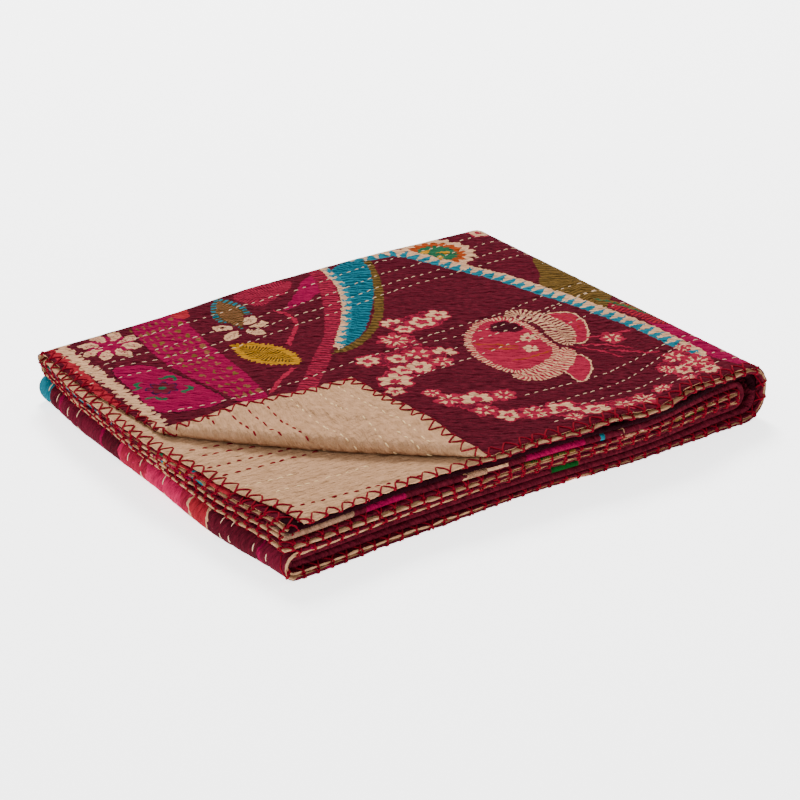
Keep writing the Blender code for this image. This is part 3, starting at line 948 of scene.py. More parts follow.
def flat_sheet(side):
    """A flat grid with its lines at the wanted places, finer along its borders."""
    columns, rows = LINES[side]
    bm = bmesh.new()
    bmesh.ops.create_grid(bm, x_segments=len(columns) - 1, y_segments=len(rows) - 1, size=0.5)
    for vert in bm.verts:
        u = columns[round((vert.co.x + 0.5) * (len(columns) - 1))]
        v = rows[round((vert.co.y + 0.5) * (len(rows) - 1))]
        vert.co = (u, v, 0)
    by_cuts = {}
    for edge in bm.edges:
        middle = (edge.verts[0].co + edge.verts[1].co) / 2
        run = edge.verts[1].co - edge.verts[0].co
        along_u = abs(run.x) > abs(run.y)
        if along_u:
            inward = min(middle.y, FLAT_WIDTH - middle.y)
        else:
            inward = min(middle.x, FLAT_LENGTH - middle.x)
        if inward < BORDER_DEPTH and run.length > LONG_BORDER_EDGE:
            by_cuts.setdefault(round(run.length / BORDER_CELL) - 1, []).append(edge)
    for cuts, edges in sorted(by_cuts.items()):
        bmesh.ops.subdivide_edges(bm, edges=edges, cuts=cuts, use_grid_fill=True)
    return bm


def triangles(mesh):
    """How many triangles a mesh has."""
    return sum(len(face.vertices) - 2 for face in mesh.polygons)


def folded(side, name, material):
    """A flat sheet folded into the pile, with its flat distances as a UV map."""
    way = 1 if side == "face" else -1
    bm = flat_sheet(side)
    if way < 0:
        bmesh.ops.reverse_faces(bm, faces=bm.faces[:])
    for face in bm.faces:
        face.smooth = True
    flat = np.array([vert.co[:2] for vert in bm.verts])
    rows, row_u = None, None
    for vert in bm.verts:
        u, v, turn = rolled(vert.co.x, vert.co.y, side)
        if u != row_u:
            rows, row_u = rows_at(u), u
        vert.co = lie(u, v, way * turn * thickness(u, v, rows) + pucker(u, v))
        vert.co.z = max(vert.co.z, 0.0)  # the floor holds the lowest ply up
    mesh = mesh_from(name, bm, material)
    corners = np.empty(len(mesh.loops), np.int32)
    mesh.loops.foreach_get("vertex_index", corners)
    mesh.uv_layers.new(name="flat").data.foreach_set("uv", flat[corners].ravel())
    print(name, triangles(mesh), "triangles")
    return add_object(name, mesh)

# %% [markdown]
# ## Thread
# All the sewing is thread lying on cloth. One short thread is modelled as a five-sided bar cut
# into rings. An array makes as many copies as there are stitches, and each copy is then bent
# along its own path, ring by ring. That keeps thousands of stitches in one light mesh.

# %% Thread
THREAD_SIDES = 5


def thread_bar(rings):
    """A unit bar cut into rings, its height counting the rings."""
    bm = bmesh.new()
    bmesh.ops.create_cone(bm, cap_ends=True, segments=THREAD_SIDES, radius1=1, radius2=1, depth=1)
    long_edges = [edge for edge in bm.edges if abs(edge.verts[0].co.z - edge.verts[1].co.z) > 0.5]
    bmesh.ops.subdivide_edges(bm, edges=long_edges, cuts=rings - 2, use_grid_fill=True)
    for face in bm.faces:
        face.smooth = True
    for vert in bm.verts:
        vert.co.z = (vert.co.z + 0.5) * (rings - 1)
    return bm


def sewn(name, paths, radius, swell, material):
    """Many threads as one object. A path is a list of flat places with their offsets."""
    mesh = mesh_from(name, thread_bar(len(paths[0])), material)
    bar = np.empty(len(mesh.vertices) * 3)
    mesh.vertices.foreach_get("co", bar)
    bar = bar.reshape(-1, 3)
    ring = np.rint(bar[:, 2]).astype(int)

    single = add_object(name + "-single", mesh)
    copies = single.modifiers.new("copies", "ARRAY")
    copies.count = len(paths)
    bpy.context.view_layer.update()
    graph = bpy.context.evaluated_depsgraph_get()
    joined = bpy.data.meshes.new_from_object(single.evaluated_get(graph))
    bpy.data.objects.remove(single)

    places = np.array([[lie(u, v, off) for u, v, off in path] for path in paths])
    above = np.array([[lie(u, v, off + MM) for u, v, off in path] for path in paths])
    along = np.gradient(places, axis=1)
    along /= np.linalg.norm(along, axis=2, keepdims=True)
    beside = np.cross(along, above - places)
    beside /= np.linalg.norm(beside, axis=2, keepdims=True)
    upward = np.cross(beside, along)
    reach = radius * np.array(swell)[ring][None, :, None]
    points = places[:, ring] + reach * (
        beside[:, ring] * bar[None, :, :1] + upward[:, ring] * bar[None, :, 1:2]
    )
    points[..., 2] = np.maximum(points[..., 2], 0.0)  # the floor presses the lowest stitches flat
    joined.vertices.foreach_set("co", points.ravel())
    joined.update()
    joined.name = name
    print(name, len(paths), "threads,", triangles(joined), "triangles")
    return add_object(name, joined)

# %% [markdown]
# ## Running stitches
# A running stitch goes over and under in turn: a longer stitch shows on the printed side, and a
# shorter one on the backing between. Hand stitches vary in length and direction. Only the
# stitches that can be seen are made: on the outside of the pile, on the fold of the top course
# and on the backing where the corner is turned back.

# %% Running stitches
STITCH_PITCH = 6.8 * MM
STITCH_LENGTH = 4.2 * MM  # on the printed side
BACK_LENGTH = 3.8 * MM  # on the backing
LENGTH_SPREAD = (0.75, 1.2)  # shares of the length and of the pitch
PITCH_SPREAD = (0.85, 1.2)
STITCH_SWAY = 0.5  # millimetres by which a stitch turns off its row, at most
STITCH_RADIUS = 0.41 * MM
RED_RADIUS = 0.7 * MM
UNDYED_RADIUS = 0.52 * MM
STITCH_SWELL = (0.45, 0.9, 1.0, 0.9, 0.45)
STITCH_RISE = (-0.6, 0.15, 0.35, 0.15, -0.6)  # of each ring over the cloth, in radii
stitch_random = random.Random(5)


def stitch(across_at, u, length, side):
    """One running stitch from u on, on the printed side (1) or on the backing (-1)."""
    length *= stitch_random.uniform(*LENGTH_SPREAD)
    sway = stitch_random.uniform(-STITCH_SWAY, STITCH_SWAY) * MM
    path = []
    for ring, rise in enumerate(STITCH_RISE):
        share = ring / (len(STITCH_RISE) - 1)
        place = u + share * length
        v = across_at(place)
        height = thickness(place, v, rows_at(place)) + rise * STITCH_RADIUS
        path.append((place, v + sway * (share - 0.5), side * height + pucker(place, v)))
    return path


def run_of_stitches(across_at, start, end, length, side):
    """The stitches of one row, from its start to its end."""
    paths = []
    u = start
    while u < end:
        paths.append(stitch(across_at, u, length, side))
        u += STITCH_PITCH * stitch_random.uniform(*PITCH_SPREAD)
    return paths


OUTSIDE_END = sum(part[2] for part in ALONG[:4])  # the outside runs to the end of the left turn
FIRST_STITCH = 4  # millimetres from the left edge, where a row has no start of its own
FOLD_ROWS = (-2.6, 3.2)  # millimetres off the middle of the fold along the front
FOLD_START = 6 * MM
cream_paths = []
for row in TOP_ROWS:
    start = row.get("start", FIRST_STITCH) * MM
    cream_paths += run_of_stitches(
        lambda u, row=row: row_across(row, u), start, OUTSIDE_END, STITCH_LENGTH, 1
    )
FOLD_MIDDLE = sum(part[2] for part in ACROSS[:3]) + ACROSS[3][2] / 2
for level in FOLD_ROWS:
    cream_paths += run_of_stitches(
        lambda u, level=level: FOLD_MIDDLE + level * MM, FOLD_START, ALONG[0][2], STITCH_LENGTH, 1
    )
print(len(cream_paths), "stitches on the printed side")

# %% Rows on the backing
def back_paths(rows):
    """The stitches of the backing's rows. Past a row's end its last distance across holds."""
    paths = []
    for row in rows:
        (start, _), (end, last) = row
        paths += run_of_stitches(
            lambda u, row=row, last=last: back_across(row, u) or last * MM,
            start * MM, end * MM, BACK_LENGTH, -1,
        )
    return paths


red_paths = back_paths(RED_BACK_ROWS)
undyed_paths = back_paths(UNDYED_BACK_ROWS)
print(len(red_paths), "red and", len(undyed_paths), "undyed stitches on the backing")

# %% [markdown]
# ## Whip stitch along the edges
# A thick red thread binds every edge. It is sewn once round in each direction through the same
# holes: from each hole it slants to the edge, over it and on to the next hole on the other side.
# So both sides show a zigzag, and the two threads cross on the edge itself, halfway between
# the holes, where they pull it shut. Between the crosses the edge opens in small lenses.
# Here each leg is one thread, from its hole on the printed side to the next on the backing.

# %% Whip stitch
WHIP_RADIUS = 0.62 * MM
WHIP_RINGS = [
    # share of the pitch, share of the depth, side, and rise over the cloth in radii
    dict(along=0.00, inward=1.00, side=1, rise=-0.9),
    dict(along=0.06, inward=0.90, side=1, rise=0.3),
    dict(along=0.27, inward=0.50, side=1, rise=0.55),
    dict(along=0.43, inward=0.16, side=1, rise=0.55),
    dict(along=0.48, inward=0.02, side=1, rise=0.1),
    dict(along=0.50, inward=-0.06, side=0, rise=0.0),
    dict(along=0.52, inward=0.02, side=-1, rise=0.1),
    dict(along=0.57, inward=0.16, side=-1, rise=0.55),
    dict(along=0.73, inward=0.50, side=-1, rise=0.55),
    dict(along=0.94, inward=0.90, side=-1, rise=0.1),
    dict(along=1.00, inward=1.00, side=-1, rise=-0.9),
]
WHIP_SWELL = (0.6, 0.95, 1, 1, 1, 1, 1, 1, 1, 0.95, 0.6)
WHIP_SWAY = 0.11  # shares of the pitch by which a leg and a hole are off their places
HOLE_SWAY = 0.1
HOLE_DEPTHS = (0.7, 1.08)  # shares of the depth
EDGES = [
    # each edge's length, and the flat place of a point at a distance along it and a depth
    dict(length=FLAT_LENGTH, place=lambda s, d: (s, d)),
    dict(length=FLAT_LENGTH, place=lambda s, d: (s, FLAT_WIDTH - d)),
    dict(length=FLAT_WIDTH, place=lambda s, d: (d, s)),
    dict(length=FLAT_WIDTH, place=lambda s, d: (FLAT_LENGTH - d, s)),
]
whip_random = random.Random(8)


def whip(edge, hole, next_hole, backward):
    """One thread over the edge, from one hole to the next; a hole is its distance and depth."""
    path = []
    sway = whip_random.uniform(-WHIP_SWAY, WHIP_SWAY)
    for ring in WHIP_RINGS:
        share = 1 - ring["along"] if backward else ring["along"]
        side = ring["side"]
        depth = blend(hole[1], next_hole[1], share)
        s = blend(hole[0], next_hole[0], share + sway * (1 - ring["inward"]))
        u, v = edge["place"](s, ring["inward"] * depth)
        inside = edge["place"](s, max(ring["inward"] * depth, EDGE_ROUND))
        height = thickness(*inside, [-1]) + ring["rise"] * WHIP_RADIUS
        path.append((u, v, side * height + pucker(*inside)))
    return path


whip_paths = []
for edge in EDGES:
    count = round(edge["length"] / EDGE_PITCH)
    pitch = edge["length"] / count
    holes = []
    for number in range(count + 1):
        along = (number + whip_random.uniform(-HOLE_SWAY, HOLE_SWAY)) * pitch
        holes.append((along, whip_random.uniform(*HOLE_DEPTHS) * EDGE_DEPTH))
    for number in range(count):
        for backward in (False, True):
            whip_paths.append(whip(edge, holes[number], holes[number + 1], backward))
print(len(whip_paths), "legs of the whip stitch")

# %% [markdown]
# ## The print
# The face is a patchwork print of a maroon ground with magenta and rose patches, curved bands
# edged with triangles, leaves, a large open flower and sprays of small blossoms. All of these
# are ordinary textile motifs. They are block-printed shapes with hand-cut edges: each has an
# edge colour, a body colour and often a heart, and its edge is scalloped, notched or hatched.
# So one figure is enough for them all. It needs to know, at every point of the cloth, how far
# the point lies along and across its shape. Those distances are worked out here for each corner
# of the mesh, and the shader then draws crisp edges from them at any resolution.
# Figures that overlap are put on different layers, drawn one over another.

# %% Print tables: patches
def alike(table, key, places):
    """Figures that share a table of settings, one for each place."""
    return [dict(table, **{key: place}) for place in places]


PATCHES = [
    # outlines in millimetres on the flat cloth
    dict(layer=0, edge="magenta", body="magenta", outline=(
        (66, 312), (60, 260), (59, 234), (60, 205), (62, 178), (63, 150), (80, 140), (88, 177),
        (94, 212), (98, 251), (105, 312))),
    dict(layer=1, edge="dark maroon", body="magenta", rim=0.6, outline=(
        (24, 254), (36, 252), (53, 240), (58, 205), (60, 178), (60, 161), (46, 158), (20, 165),
        (11, 179), (20, 215))),
    dict(layer=1, edge="coral", body="coral", outline=(
        (98, 293), (110, 292), (112, 312), (98, 312))),
    dict(layer=0, edge="dark rose", body="rose", teeth=0.42, outline=(
        (146, 300), (150, 284), (155, 273), (170, 277), (186, 284), (198, 296), (190, 304),
        (160, 306))),
    dict(layer=0, edge="magenta", body="magenta", outline=(
        (232, 300), (206, 297), (196, 286), (178, 268), (162, 256), (178, 259), (197, 266),
        (214, 276))),
    dict(layer=2, edge="dark teal", body="teal", width=9, teeth=0.24, outline=(
        (230, 302), (222, 272), (206, 240), (185, 212), (160, 186), (160, 181), (186, 191),
        (221, 229), (245, 263), (266, 306))),
    dict(layer=0, edge="bronze", body="olive", teeth=0.3, outline=(
        (366, 240), (352, 208), (336, 192), (337, 168), (342, 140), (350, 130), (362, 142),
        (372, 154), (384, 165), (384, 240))),
    dict(layer=0, edge="magenta", body="magenta", outline=(
        (357, 104), (366, 99), (386, 84), (386, 4), (364, 4), (356, 11), (353, 38), (356, 73))),
    dict(layer=1, edge="dark rose", body="coral", teeth=0.3, outline=(
        (350, 136), (356, 113), (360, 88), (372, 84), (376, 112), (364, 138))),
]
print(len(PATCHES), "patches on the top ply")

# %% Print tables: the large open flower
CREAM_EDGED = dict(edge="cream", width=2.8, rim=0.5)
HATCHED_PETAL = dict(edge="cream", width=6, rim=0.94, teeth=1, notch=0.25, pitch=3.8)
PATCHES += [
    # two plain petals, two hatched ones, the cup and its mouth
    dict(CREAM_EDGED, layer=1, body="rose", outline=(
        (298, 150), (310, 151), (322, 147), (327, 136), (322, 122), (312, 108), (302, 99),
        (290, 102), (294, 125))),
    dict(CREAM_EDGED, layer=1, body="rose", outline=(
        (262, 86), (281, 94), (287, 84), (281, 70), (268, 59), (256, 52), (257, 68))),
    dict(HATCHED_PETAL, layer=2, body="dark rose", outline=(
        (278, 162), (290, 172), (301, 168), (308, 152), (311, 136), (308, 118), (294, 101),
        (284, 104), (286, 124), (294, 142), (288, 156))),
    dict(HATCHED_PETAL, layer=2, body="rose", outline=(
        (224, 88), (240, 88), (256, 93), (272, 101), (286, 104), (286, 92), (272, 80),
        (258, 72), (240, 68), (228, 74))),
    dict(layer=3, edge="cream", body="rose", width=8, rim=0.36, comb=1, teeth=1.7, notch=0.22,
         pitch=5, outline=(
        (236, 150), (246, 160), (262, 170), (278, 168), (288, 158), (289, 140), (283, 122),
        (282, 104), (272, 94), (256, 86), (240, 83), (228, 88), (223, 104), (224, 122),
        (229, 138))),
    dict(layer=4, edge="dark rose", body="dark maroon", width=2, rim=0.4, teeth=0.6, comb=1,
         outline=(
        (258, 150), (266, 160), (276, 161), (283, 152), (281, 140), (273, 140), (265, 146))),
]
print(len(PATCHES), "patches with the large flower")

# %% Print tables: the rose sprays behind the blossoms
SPRAY = dict(layer=2, edge="rose", body="dark rose", width=2.4, rim=0.35, notch=0.9, pitch=6.5)
PATCHES += alike(SPRAY, "outline", [
    ((204, 206), (222, 200), (240, 204), (254, 198), (252, 184), (234, 174), (218, 178),
     (206, 188)),
    ((156, 166), (172, 164), (188, 156), (206, 180), (214, 172), (206, 156), (220, 142),
     (206, 128), (188, 118), (172, 120), (164, 108), (150, 104), (146, 114), (156, 132),
     (172, 140), (160, 150)),
    ((162, 86), (178, 82), (194, 76), (214, 70), (212, 58), (190, 60), (184, 46), (172, 52),
     (168, 68)),
    ((182, 46), (200, 42), (216, 40), (230, 36), (246, 22), (276, 20), (282, 6), (240, 6),
     (216, 18), (186, 30)),
    ((306, 42), (322, 44), (336, 52), (350, 40), (352, 16), (328, 12), (312, 6), (302, 12),
     (318, 26)),
])
PATCHES += [
    # hides the disc flower past its toothed band
    dict(layer=2, edge="maroon", body="maroon", outline=(
        (262, 300), (276, 297), (288, 293), (296, 275), (305, 251), (317, 222), (300, 232),
        (270, 262))),
]
print(len(PATCHES), "patches with the sprays")

# %% Print tables: edges and folds that show at the sides of the pile
EDGE_PATCH = dict(layer=1, width=6, rim=0.4, teeth=0.4)
PATCHES += [
    # painted shade: black over the fold along the front of the top course and the plies beside it,
    # where the plies above leave a dark gap
    dict(layer=0, edge="painted shade", body="painted shade", outline=(
        (-5, 585), (385, 585), (385, 655), (-5, 655))),
    dict(layer=1, edge="magenta", body="magenta", outline=(
        (1276, 590), (1343, 590), (1344, 650), (1278, 650))),
    dict(layer=1, edge="maroon", body="cream", width=6, teeth=0.4, outline=(
        (1344, 590), (1377, 590), (1378, 650), (1345, 650))),
    dict(layer=1, edge="magenta", body="magenta", outline=(
        (1418, 590), (1452, 590), (1454, 650), (1420, 650))),
    dict(layer=1, edge="grey", body="grey", outline=(
        (1453, 590), (1512, 590), (1512, 650), (1454, 650))),
    dict(layer=1, edge="teal", body="teal", outline=(
        (1267, 606), (1275, 606), (1275, 632), (1267, 632))),
    dict(layer=1, edge="maroon", body="cream", width=3, outline=(
        (1256, 606), (1265, 606), (1265, 632), (1256, 632))),
    dict(layer=1, edge="leaf green", body="leaf green", outline=(
        (978, 600), (1001, 600), (1001, 642), (978, 642))),
    # the free edges of the lower plies
    dict(EDGE_PATCH, edge="olive", body="leaf green", outline=(
        (1290, 1192), (1330, 1190), (1332, 1226), (1292, 1226))),
    dict(EDGE_PATCH, edge="rose", body="cream", outline=(
        (1235, 1190), (1262, 1190), (1262, 1226), (1235, 1226))),
    dict(EDGE_PATCH, edge="olive", body="leaf green", outline=(
        (1180, -8), (1212, -8), (1212, 22), (1180, 22))),
    dict(EDGE_PATCH, edge="magenta", body="dark rose", outline=(
        (1392, -8), (1440, -8), (1438, 26), (1394, 24))),
    dict(EDGE_PATCH, edge="rose", body="cream", outline=(
        (538, -8), (566, -8), (566, 24), (538, 22))),
    dict(layer=0, edge="pink", body="rose", width=5, rim=0.2, notch=0.5, pitch=9, outline=(
        (740, 76), (766, 80), (800, 78), (812, 120), (800, 186), (770, 192), (744, 170))),
    dict(layer=1, edge="pink", body="pink", width=5, rim=0.2, notch=0.5, pitch=8, outline=(
        (744, 112), (790, 106), (806, 130), (790, 158), (752, 150))),
    dict(layer=2, edge="cream", body="coral", width=5, rim=0.5, notch=0.5, pitch=7, outline=(
        (768, 78), (776, 74), (790, 78), (792, 98), (780, 102), (768, 96))),
    dict(layer=1, edge="magenta", body="dark rose", width=5, rim=0.3, notch=0.4, pitch=8,
         outline=(
        (744, 206), (800, 212), (804, 262), (786, 276), (750, 270))),
    dict(layer=0, edge="magenta", body="dark rose", width=5, rim=0.4, notch=0.4, pitch=8,
         outline=((740, -8), (800, -8), (800, 26), (744, 30))),
    dict(layer=2, edge="teal", body="teal", outline=(
        (760, 286), (800, 290), (800, 306), (760, 308))),
]
print(len(PATCHES), "patches in all")

# %% Print tables: bands
BANDS = [
    # centre line and width in millimetres, with an edge that is plain, scalloped or toothed
    dict(layer=1, edge="coral", body="coral", width=7, line=(
        (5, 312), (7, 286), (7, 261), (4, 223), (0, 200))),
    dict(layer=4, edge="dark rose", body="cream", width=11, pitch=7, notch=0.5, rim=0.8, comb=1,
         teeth=1, line=(
        (13, 312), (15, 304), (12, 296), (15, 288), (12.5, 280), (16, 271), (13, 263), (17, 254),
        (14, 246), (17, 238), (14, 229), (16.5, 220), (12, 211), (14, 202), (9.5, 193), (12, 184),
        (7, 174), (9, 165), (4, 156), (5, 146))),
    dict(layer=1, edge="dark rose", body="rose", width=13, pitch=3.6, notch=0.14, teeth=1, line=(
        (222, 312), (220, 292), (206, 260), (187, 227), (169, 201), (146, 182), (132, 168),
        (98, 136))),
    dict(layer=1, edge="olive", body="bronze", width=6.5, pitch=2.4, teeth=0.5, line=(
        (270, 312), (262, 296), (250, 268), (234, 240), (206, 203), (175, 181), (158, 180))),
    dict(layer=3, edge="teal", body="cream", width=13.5, pitch=9, teeth=1, slant=1, line=(
        (246, 316), (262, 304), (276, 302), (291, 299), (302, 277), (311, 252), (325, 219),
        (332, 184), (338, 163), (343, 132), (347, 109), (350, 80), (350, 52), (350, 38))),
    dict(layer=3, edge="cream", body="teal", width=7.4, pitch=9, teeth=1, slant=1, line=(
        (229, 303), (224, 274), (208, 241), (187, 213), (163, 187))),
    dict(layer=2, edge="rose", body="rose", width=3.2, line=(
        (162, 258), (166, 246), (160, 231), (143, 215), (136, 208), (133, 193), (123, 179),
        (104, 169), (88, 156))),
]
# stems of the sprays
BANDS += alike(dict(layer=3, edge="rose", body="rose", width=2.2), "line", [
    ((286, 98), (306, 82), (325, 59), (340, 50)),
    ((300, 108), (316, 100), (338, 94)),
])
BANDS += alike(dict(layer=3, edge="rose", body="rose", width=2), "line", [
    ((292, 100), (306, 92), (318, 76)),
    ((290, 98), (300, 84), (304, 70)),
])
BANDS += [
    dict(layer=2, edge="green", body="olive", width=4, pitch=6, teeth=1, slant=1, line=(
        (356, 146), (362, 134), (366, 112), (372, 100))),
]
# strokes of the large flower
BANDS += alike(dict(layer=4, edge="orange", body="orange", width=1.8), "line", [
    ((240, 138), (252, 128), (262, 120)),
    ((242, 128), (252, 121), (264, 112)),
])
BANDS += alike(dict(layer=4, edge="orange", body="orange", width=1.6), "line", [
    ((244, 104), (258, 103), (270, 104)),
])
BANDS += alike(dict(layer=4, edge="coral", body="coral", width=1.6), "line", [
    ((312, 142), (316, 130), (312, 118)),
    ((318, 142), (321, 134), (318, 124)),
])
print(len(BANDS), "bands, stems and strokes")

# %% Print tables: flowers, leaves and small blossoms
def loops(at, reach, half, turns, **manner):
    """Looped petals round a middle: each one a small pointed oval, pointing outwards."""
    petals = []
    for turn in turns:
        angle = math.radians(turn)
        place = (at[0] + reach * math.cos(angle), at[1] + reach * math.sin(angle))
        petals.append(dict(manner, at=place, half=half, turn=turn))
    return petals


FLOWERS = [
    # centre and radius in millimetres; a negative notch makes spikes in place of lobes
    dict(layer=2, at=(42, 285), radius=18, petals=8, notch=0.25, edge="magenta", body="magenta",
         heart="magenta", rim=0.86, centre=0.3),
    dict(layer=3, at=(37, 204), radius=20, petals=9, notch=0.24, edge="green", body="magenta",
         heart="rose", rim=0.82, centre=0.26, comb=1, teeth=0.45),
    dict(layer=4, at=(37, 204), radius=11, petals=7, notch=0.4, edge="violet", body="dark rose",
         heart="green", rim=0.84, centre=0.24),
    dict(layer=1, at=(313, 281), radius=29, petals=18, notch=0.14, edge="cream", body="orange",
         heart="green", rim=0.76, centre=0.54),
    dict(layer=3, at=(363, 298), radius=9, petals=5, notch=0.3, edge="rose", body="cream",
         heart="rose", rim=0.8, centre=0.3),
    dict(layer=4, at=(274, 129), radius=6.5, petals=6, notch=0.5, edge="cream", body="cream",
         heart="rose", rim=0.8, centre=0.3),
    dict(layer=4, at=(264, 114), radius=5.5, petals=5, notch=0.5, edge="cream", body="cream",
         heart="rose", rim=0.8, centre=0.3),
]
LEAVES = [
    # middle, half length and half width in millimetres, and direction in degrees
    dict(layer=3, at=(133, 276), half=(32, 13.5), turn=81, edge="teal", body="bronze", width=6,
         rim=0.3, comb=1, teeth=0.22),
    dict(layer=4, at=(133, 278), half=(24, 8), turn=81, edge="tan", body="bronze", width=3,
         rim=0.9, teeth=0.4),
    dict(layer=2, at=(118, 207), half=(29, 13.5), turn=108, edge="mustard", body="mustard", width=6,
         notch=-0.38, pitch=3.4),
    dict(layer=3, at=(118, 207), half=(25, 10), turn=108, edge="mustard", body="bronze", width=4,
         rim=0.9, teeth=0.42),
]
SEED = dict(layer=4, edge="mustard", body="mustard", width=1)
LEAVES += [
    dict(SEED, at=(308, 288), half=(6, 2.4), turn=20),
    dict(SEED, at=(318, 280), half=(6, 2.4), turn=160),
    dict(SEED, at=(311, 274), half=(5, 2.2), turn=60),
]
LOOP = dict(layer=3, edge="cream", width=2.2, rim=0.05)
LEAVES += loops((42, 285), 15, (8.5, 5), range(10, 370, 45), body="magenta", **LOOP)
LEAVES += loops((127, 253), 13, (8.5, 4.8), (-150, -65, -10, 30, 140), body="maroon", **LOOP)
BLOSSOMS = [
    # centres and radii of the small blossoms of the sprays, in millimetres
    (213, 197, 10), (231, 188, 11), (247, 192, 10), (198, 173, 12), (214, 184, 8),
    (164, 156, 10), (182, 147, 10), (197, 146, 11), (213, 139, 10), (186, 129, 10), (203, 128, 8),
    (160, 120, 13), (174, 131, 8), (151, 108, 8), (171, 78, 10), (186, 68, 13), (204, 64, 9),
    (180, 52, 9), (188, 38, 10), (204, 32, 11), (222, 28, 12), (237, 15, 10), (256, 12, 9),
    (272, 12, 9), (333, 43, 10), (316, 34, 8), (325, 26, 10), (341, 29, 11), (314, 12, 8),
    (320, 93, 9), (338, 14, 9), (348, 50, 7), (290, 14, 7), (168, 92, 7), (220, 14, 8),
]
print_random = random.Random(21)  # every random draw of the print, in one fixed order
for number, (u, v, radius) in enumerate(BLOSSOMS):
    FLOWERS.append(dict(
        layer=3 + number % 2, at=(u, v), radius=radius * print_random.uniform(0.9, 1.1),
        petals=print_random.choice((5, 5, 6, 7)), notch=print_random.uniform(0.3, 0.48),
        turn=print_random.uniform(0, 360), edge="rose", body="cream", heart="rose",
        teeth=print_random.choice((0, 1)),
        rim=print_random.uniform(0.76, 0.86), centre=print_random.uniform(0.28, 0.42)))

# rows of short embroidered dashes on the magenta band, every other row shifted
DASH_ROWS, DASHES = 14, 7
DASH_START = (65, 298)  # millimetres
DASH_PITCH = (5, -10.4)
DASH_SHIFT = 2.4
DASH_SHARE = 0.9  # some are left out
BAND_SIDE = 63  # millimetres to the band's side at its lower end
BAND_LEAN = 8  # which leans by one in this many
for row in range(DASH_ROWS):
    for place in range(DASHES):
        at = (DASH_START[0] + DASH_PITCH[0] * place + row % 2 * DASH_SHIFT,
              DASH_START[1] + DASH_PITCH[1] * row)
        inside = at[0] < BAND_SIDE + at[1] / BAND_LEAN
        if inside and print_random.random() < DASH_SHARE:
            LEAVES.append(dict(
                layer=3, at=at, half=(3.6, 2.1), turn=print_random.uniform(55, 80), edge="tan",
                body=print_random.choice(("tan", "tan", "olive")), width=0.9))
print(len(FLOWERS), "flowers,", len(LEAVES), "leaves and dashes")

# %% [markdown]
# ## The print where it hardly shows
# The parts of the print that only show in folds and underneath are laid out by a seeded
# generator: a loose repeat of large patches and short bands, each with a few flowers round it.
# A seed gives the same layout every time, so the cloth never changes from one run to the next.

# %% Print tables: the rest of the cloth
REPEAT = 118  # millimetres between the places where something is printed
REPEATS = (14, 11)  # along and across
SPREAD = 30  # millimetres by which a place is off the repeat
PATCH_SHARE = 0.7  # the other places have a band
PATCH_SIZES = (26, 52)
PATCH_UNEVEN = (0.7, 1.3)
PATCH_CORNERS = (0, 1, 2, 3.1, 4.2, 5.3)  # radians round the middle
BAND_ENDS = ((-60, -30), (-10, 10), (60, 40))  # from the place; the last one is spread
BAND_SPREAD = 60
FLOWERS_EACH = 5
FLOWER_SPREAD = 55
PLANNED = [
    # parts of the cloth, from u and v to u and v, that are left to the tables above
    ((-60, -60), (372, 312)),  # the top ply
    ((742, -60), (812, 330)),  # the turn at the left
    ((-60, 604), (1600, 636)),  # the fold along the front
    ((372, -60), (1600, 20)),  # the free edges along the front
    ((-60, 1200), (1600, 1290)),
]
SEEDED = []
BODY_DYES = ("magenta", "rose", "teal", "olive", "cream", "coral", "green", "mustard", "magenta")


def somewhere(u, v, reach):
    """A random place within reach of (u, v)."""
    return (u + print_random.uniform(-reach, reach), v + print_random.uniform(-reach, reach))


def seeded_patch(u, v, size, **dyes):
    """A loose six-sided patch."""
    outline = [
        (u + size * math.cos(angle) * print_random.uniform(*PATCH_UNEVEN),
         v + size * math.sin(angle) * print_random.uniform(*PATCH_UNEVEN))
        for angle in PATCH_CORNERS
    ]
    return dict(dyes, layer=0, width=5, rim=0.3, comb=1, teeth=0.2, outline=outline)


def seeded_band(u, v, **dyes):
    """A short toothed band."""
    first, second, last = [(u + step[0], v + step[1]) for step in BAND_ENDS]
    line = (first, second, somewhere(*last, BAND_SPREAD))
    return dict(dyes, layer=1, width=12, pitch=7.5, teeth=1, slant=1, line=line)


def seeded_flower(u, v, heart):
    """A small flower with a rose edge."""
    at = somewhere(u, v, FLOWER_SPREAD)
    return dict(
        layer=print_random.choice((3, 4)), at=at, radius=print_random.uniform(7, 15),
        petals=print_random.choice((5, 6, 8)), notch=print_random.uniform(0.2, 0.45), edge="rose",
        body=print_random.choice(("cream", "cream", "magenta", "teal")), heart=heart,
        rim=0.78, centre=0.32)


for column in range(REPEATS[0]):
    for row in range(REPEATS[1]):
        u, v = somewhere(column * REPEAT, row * REPEAT, SPREAD)
        body, edge, heart = print_random.sample(BODY_DYES, 3)
        size = print_random.uniform(*PATCH_SIZES)
        if print_random.random() < PATCH_SHARE:
            SEEDED.append(seeded_patch(u, v, size, edge=edge, body=body))
        else:
            SEEDED.append(seeded_band(u, v, edge=edge, body=body))
        SEEDED += [seeded_flower(u, v, heart) for _ in range(FLOWERS_EACH)]
print(len(SEEDED), "seeded figures")

# %% [markdown]
# ## From tables to the mesh
# A nearest-place search on each figure's outline or centre line tells how far along it and
# how far from it every corner of the mesh lies. It is done once here, in array form, and kept
# on the corners, which is much lighter than doing it in the shader for every point seen.

# %% Where a point lies in its figure
LAYERS = 5
FACE_MARGIN = 2.2  # millimetres round a figure where the faces are kept for it
OUTSIDE = 9.0  # distance across where there is no figure, well past any outline
PLAIN_WIDTH = 3.0  # millimetres of a patch's or leaf's edge where its row gives none
FLOWER_MARGIN, LINE_MARGIN = 4, 3  # millimetres round a figure's box
OUTLINE_STEPS = 9  # points along each side of a leaf
NO_LENGTH = 1e-6  # millimetres


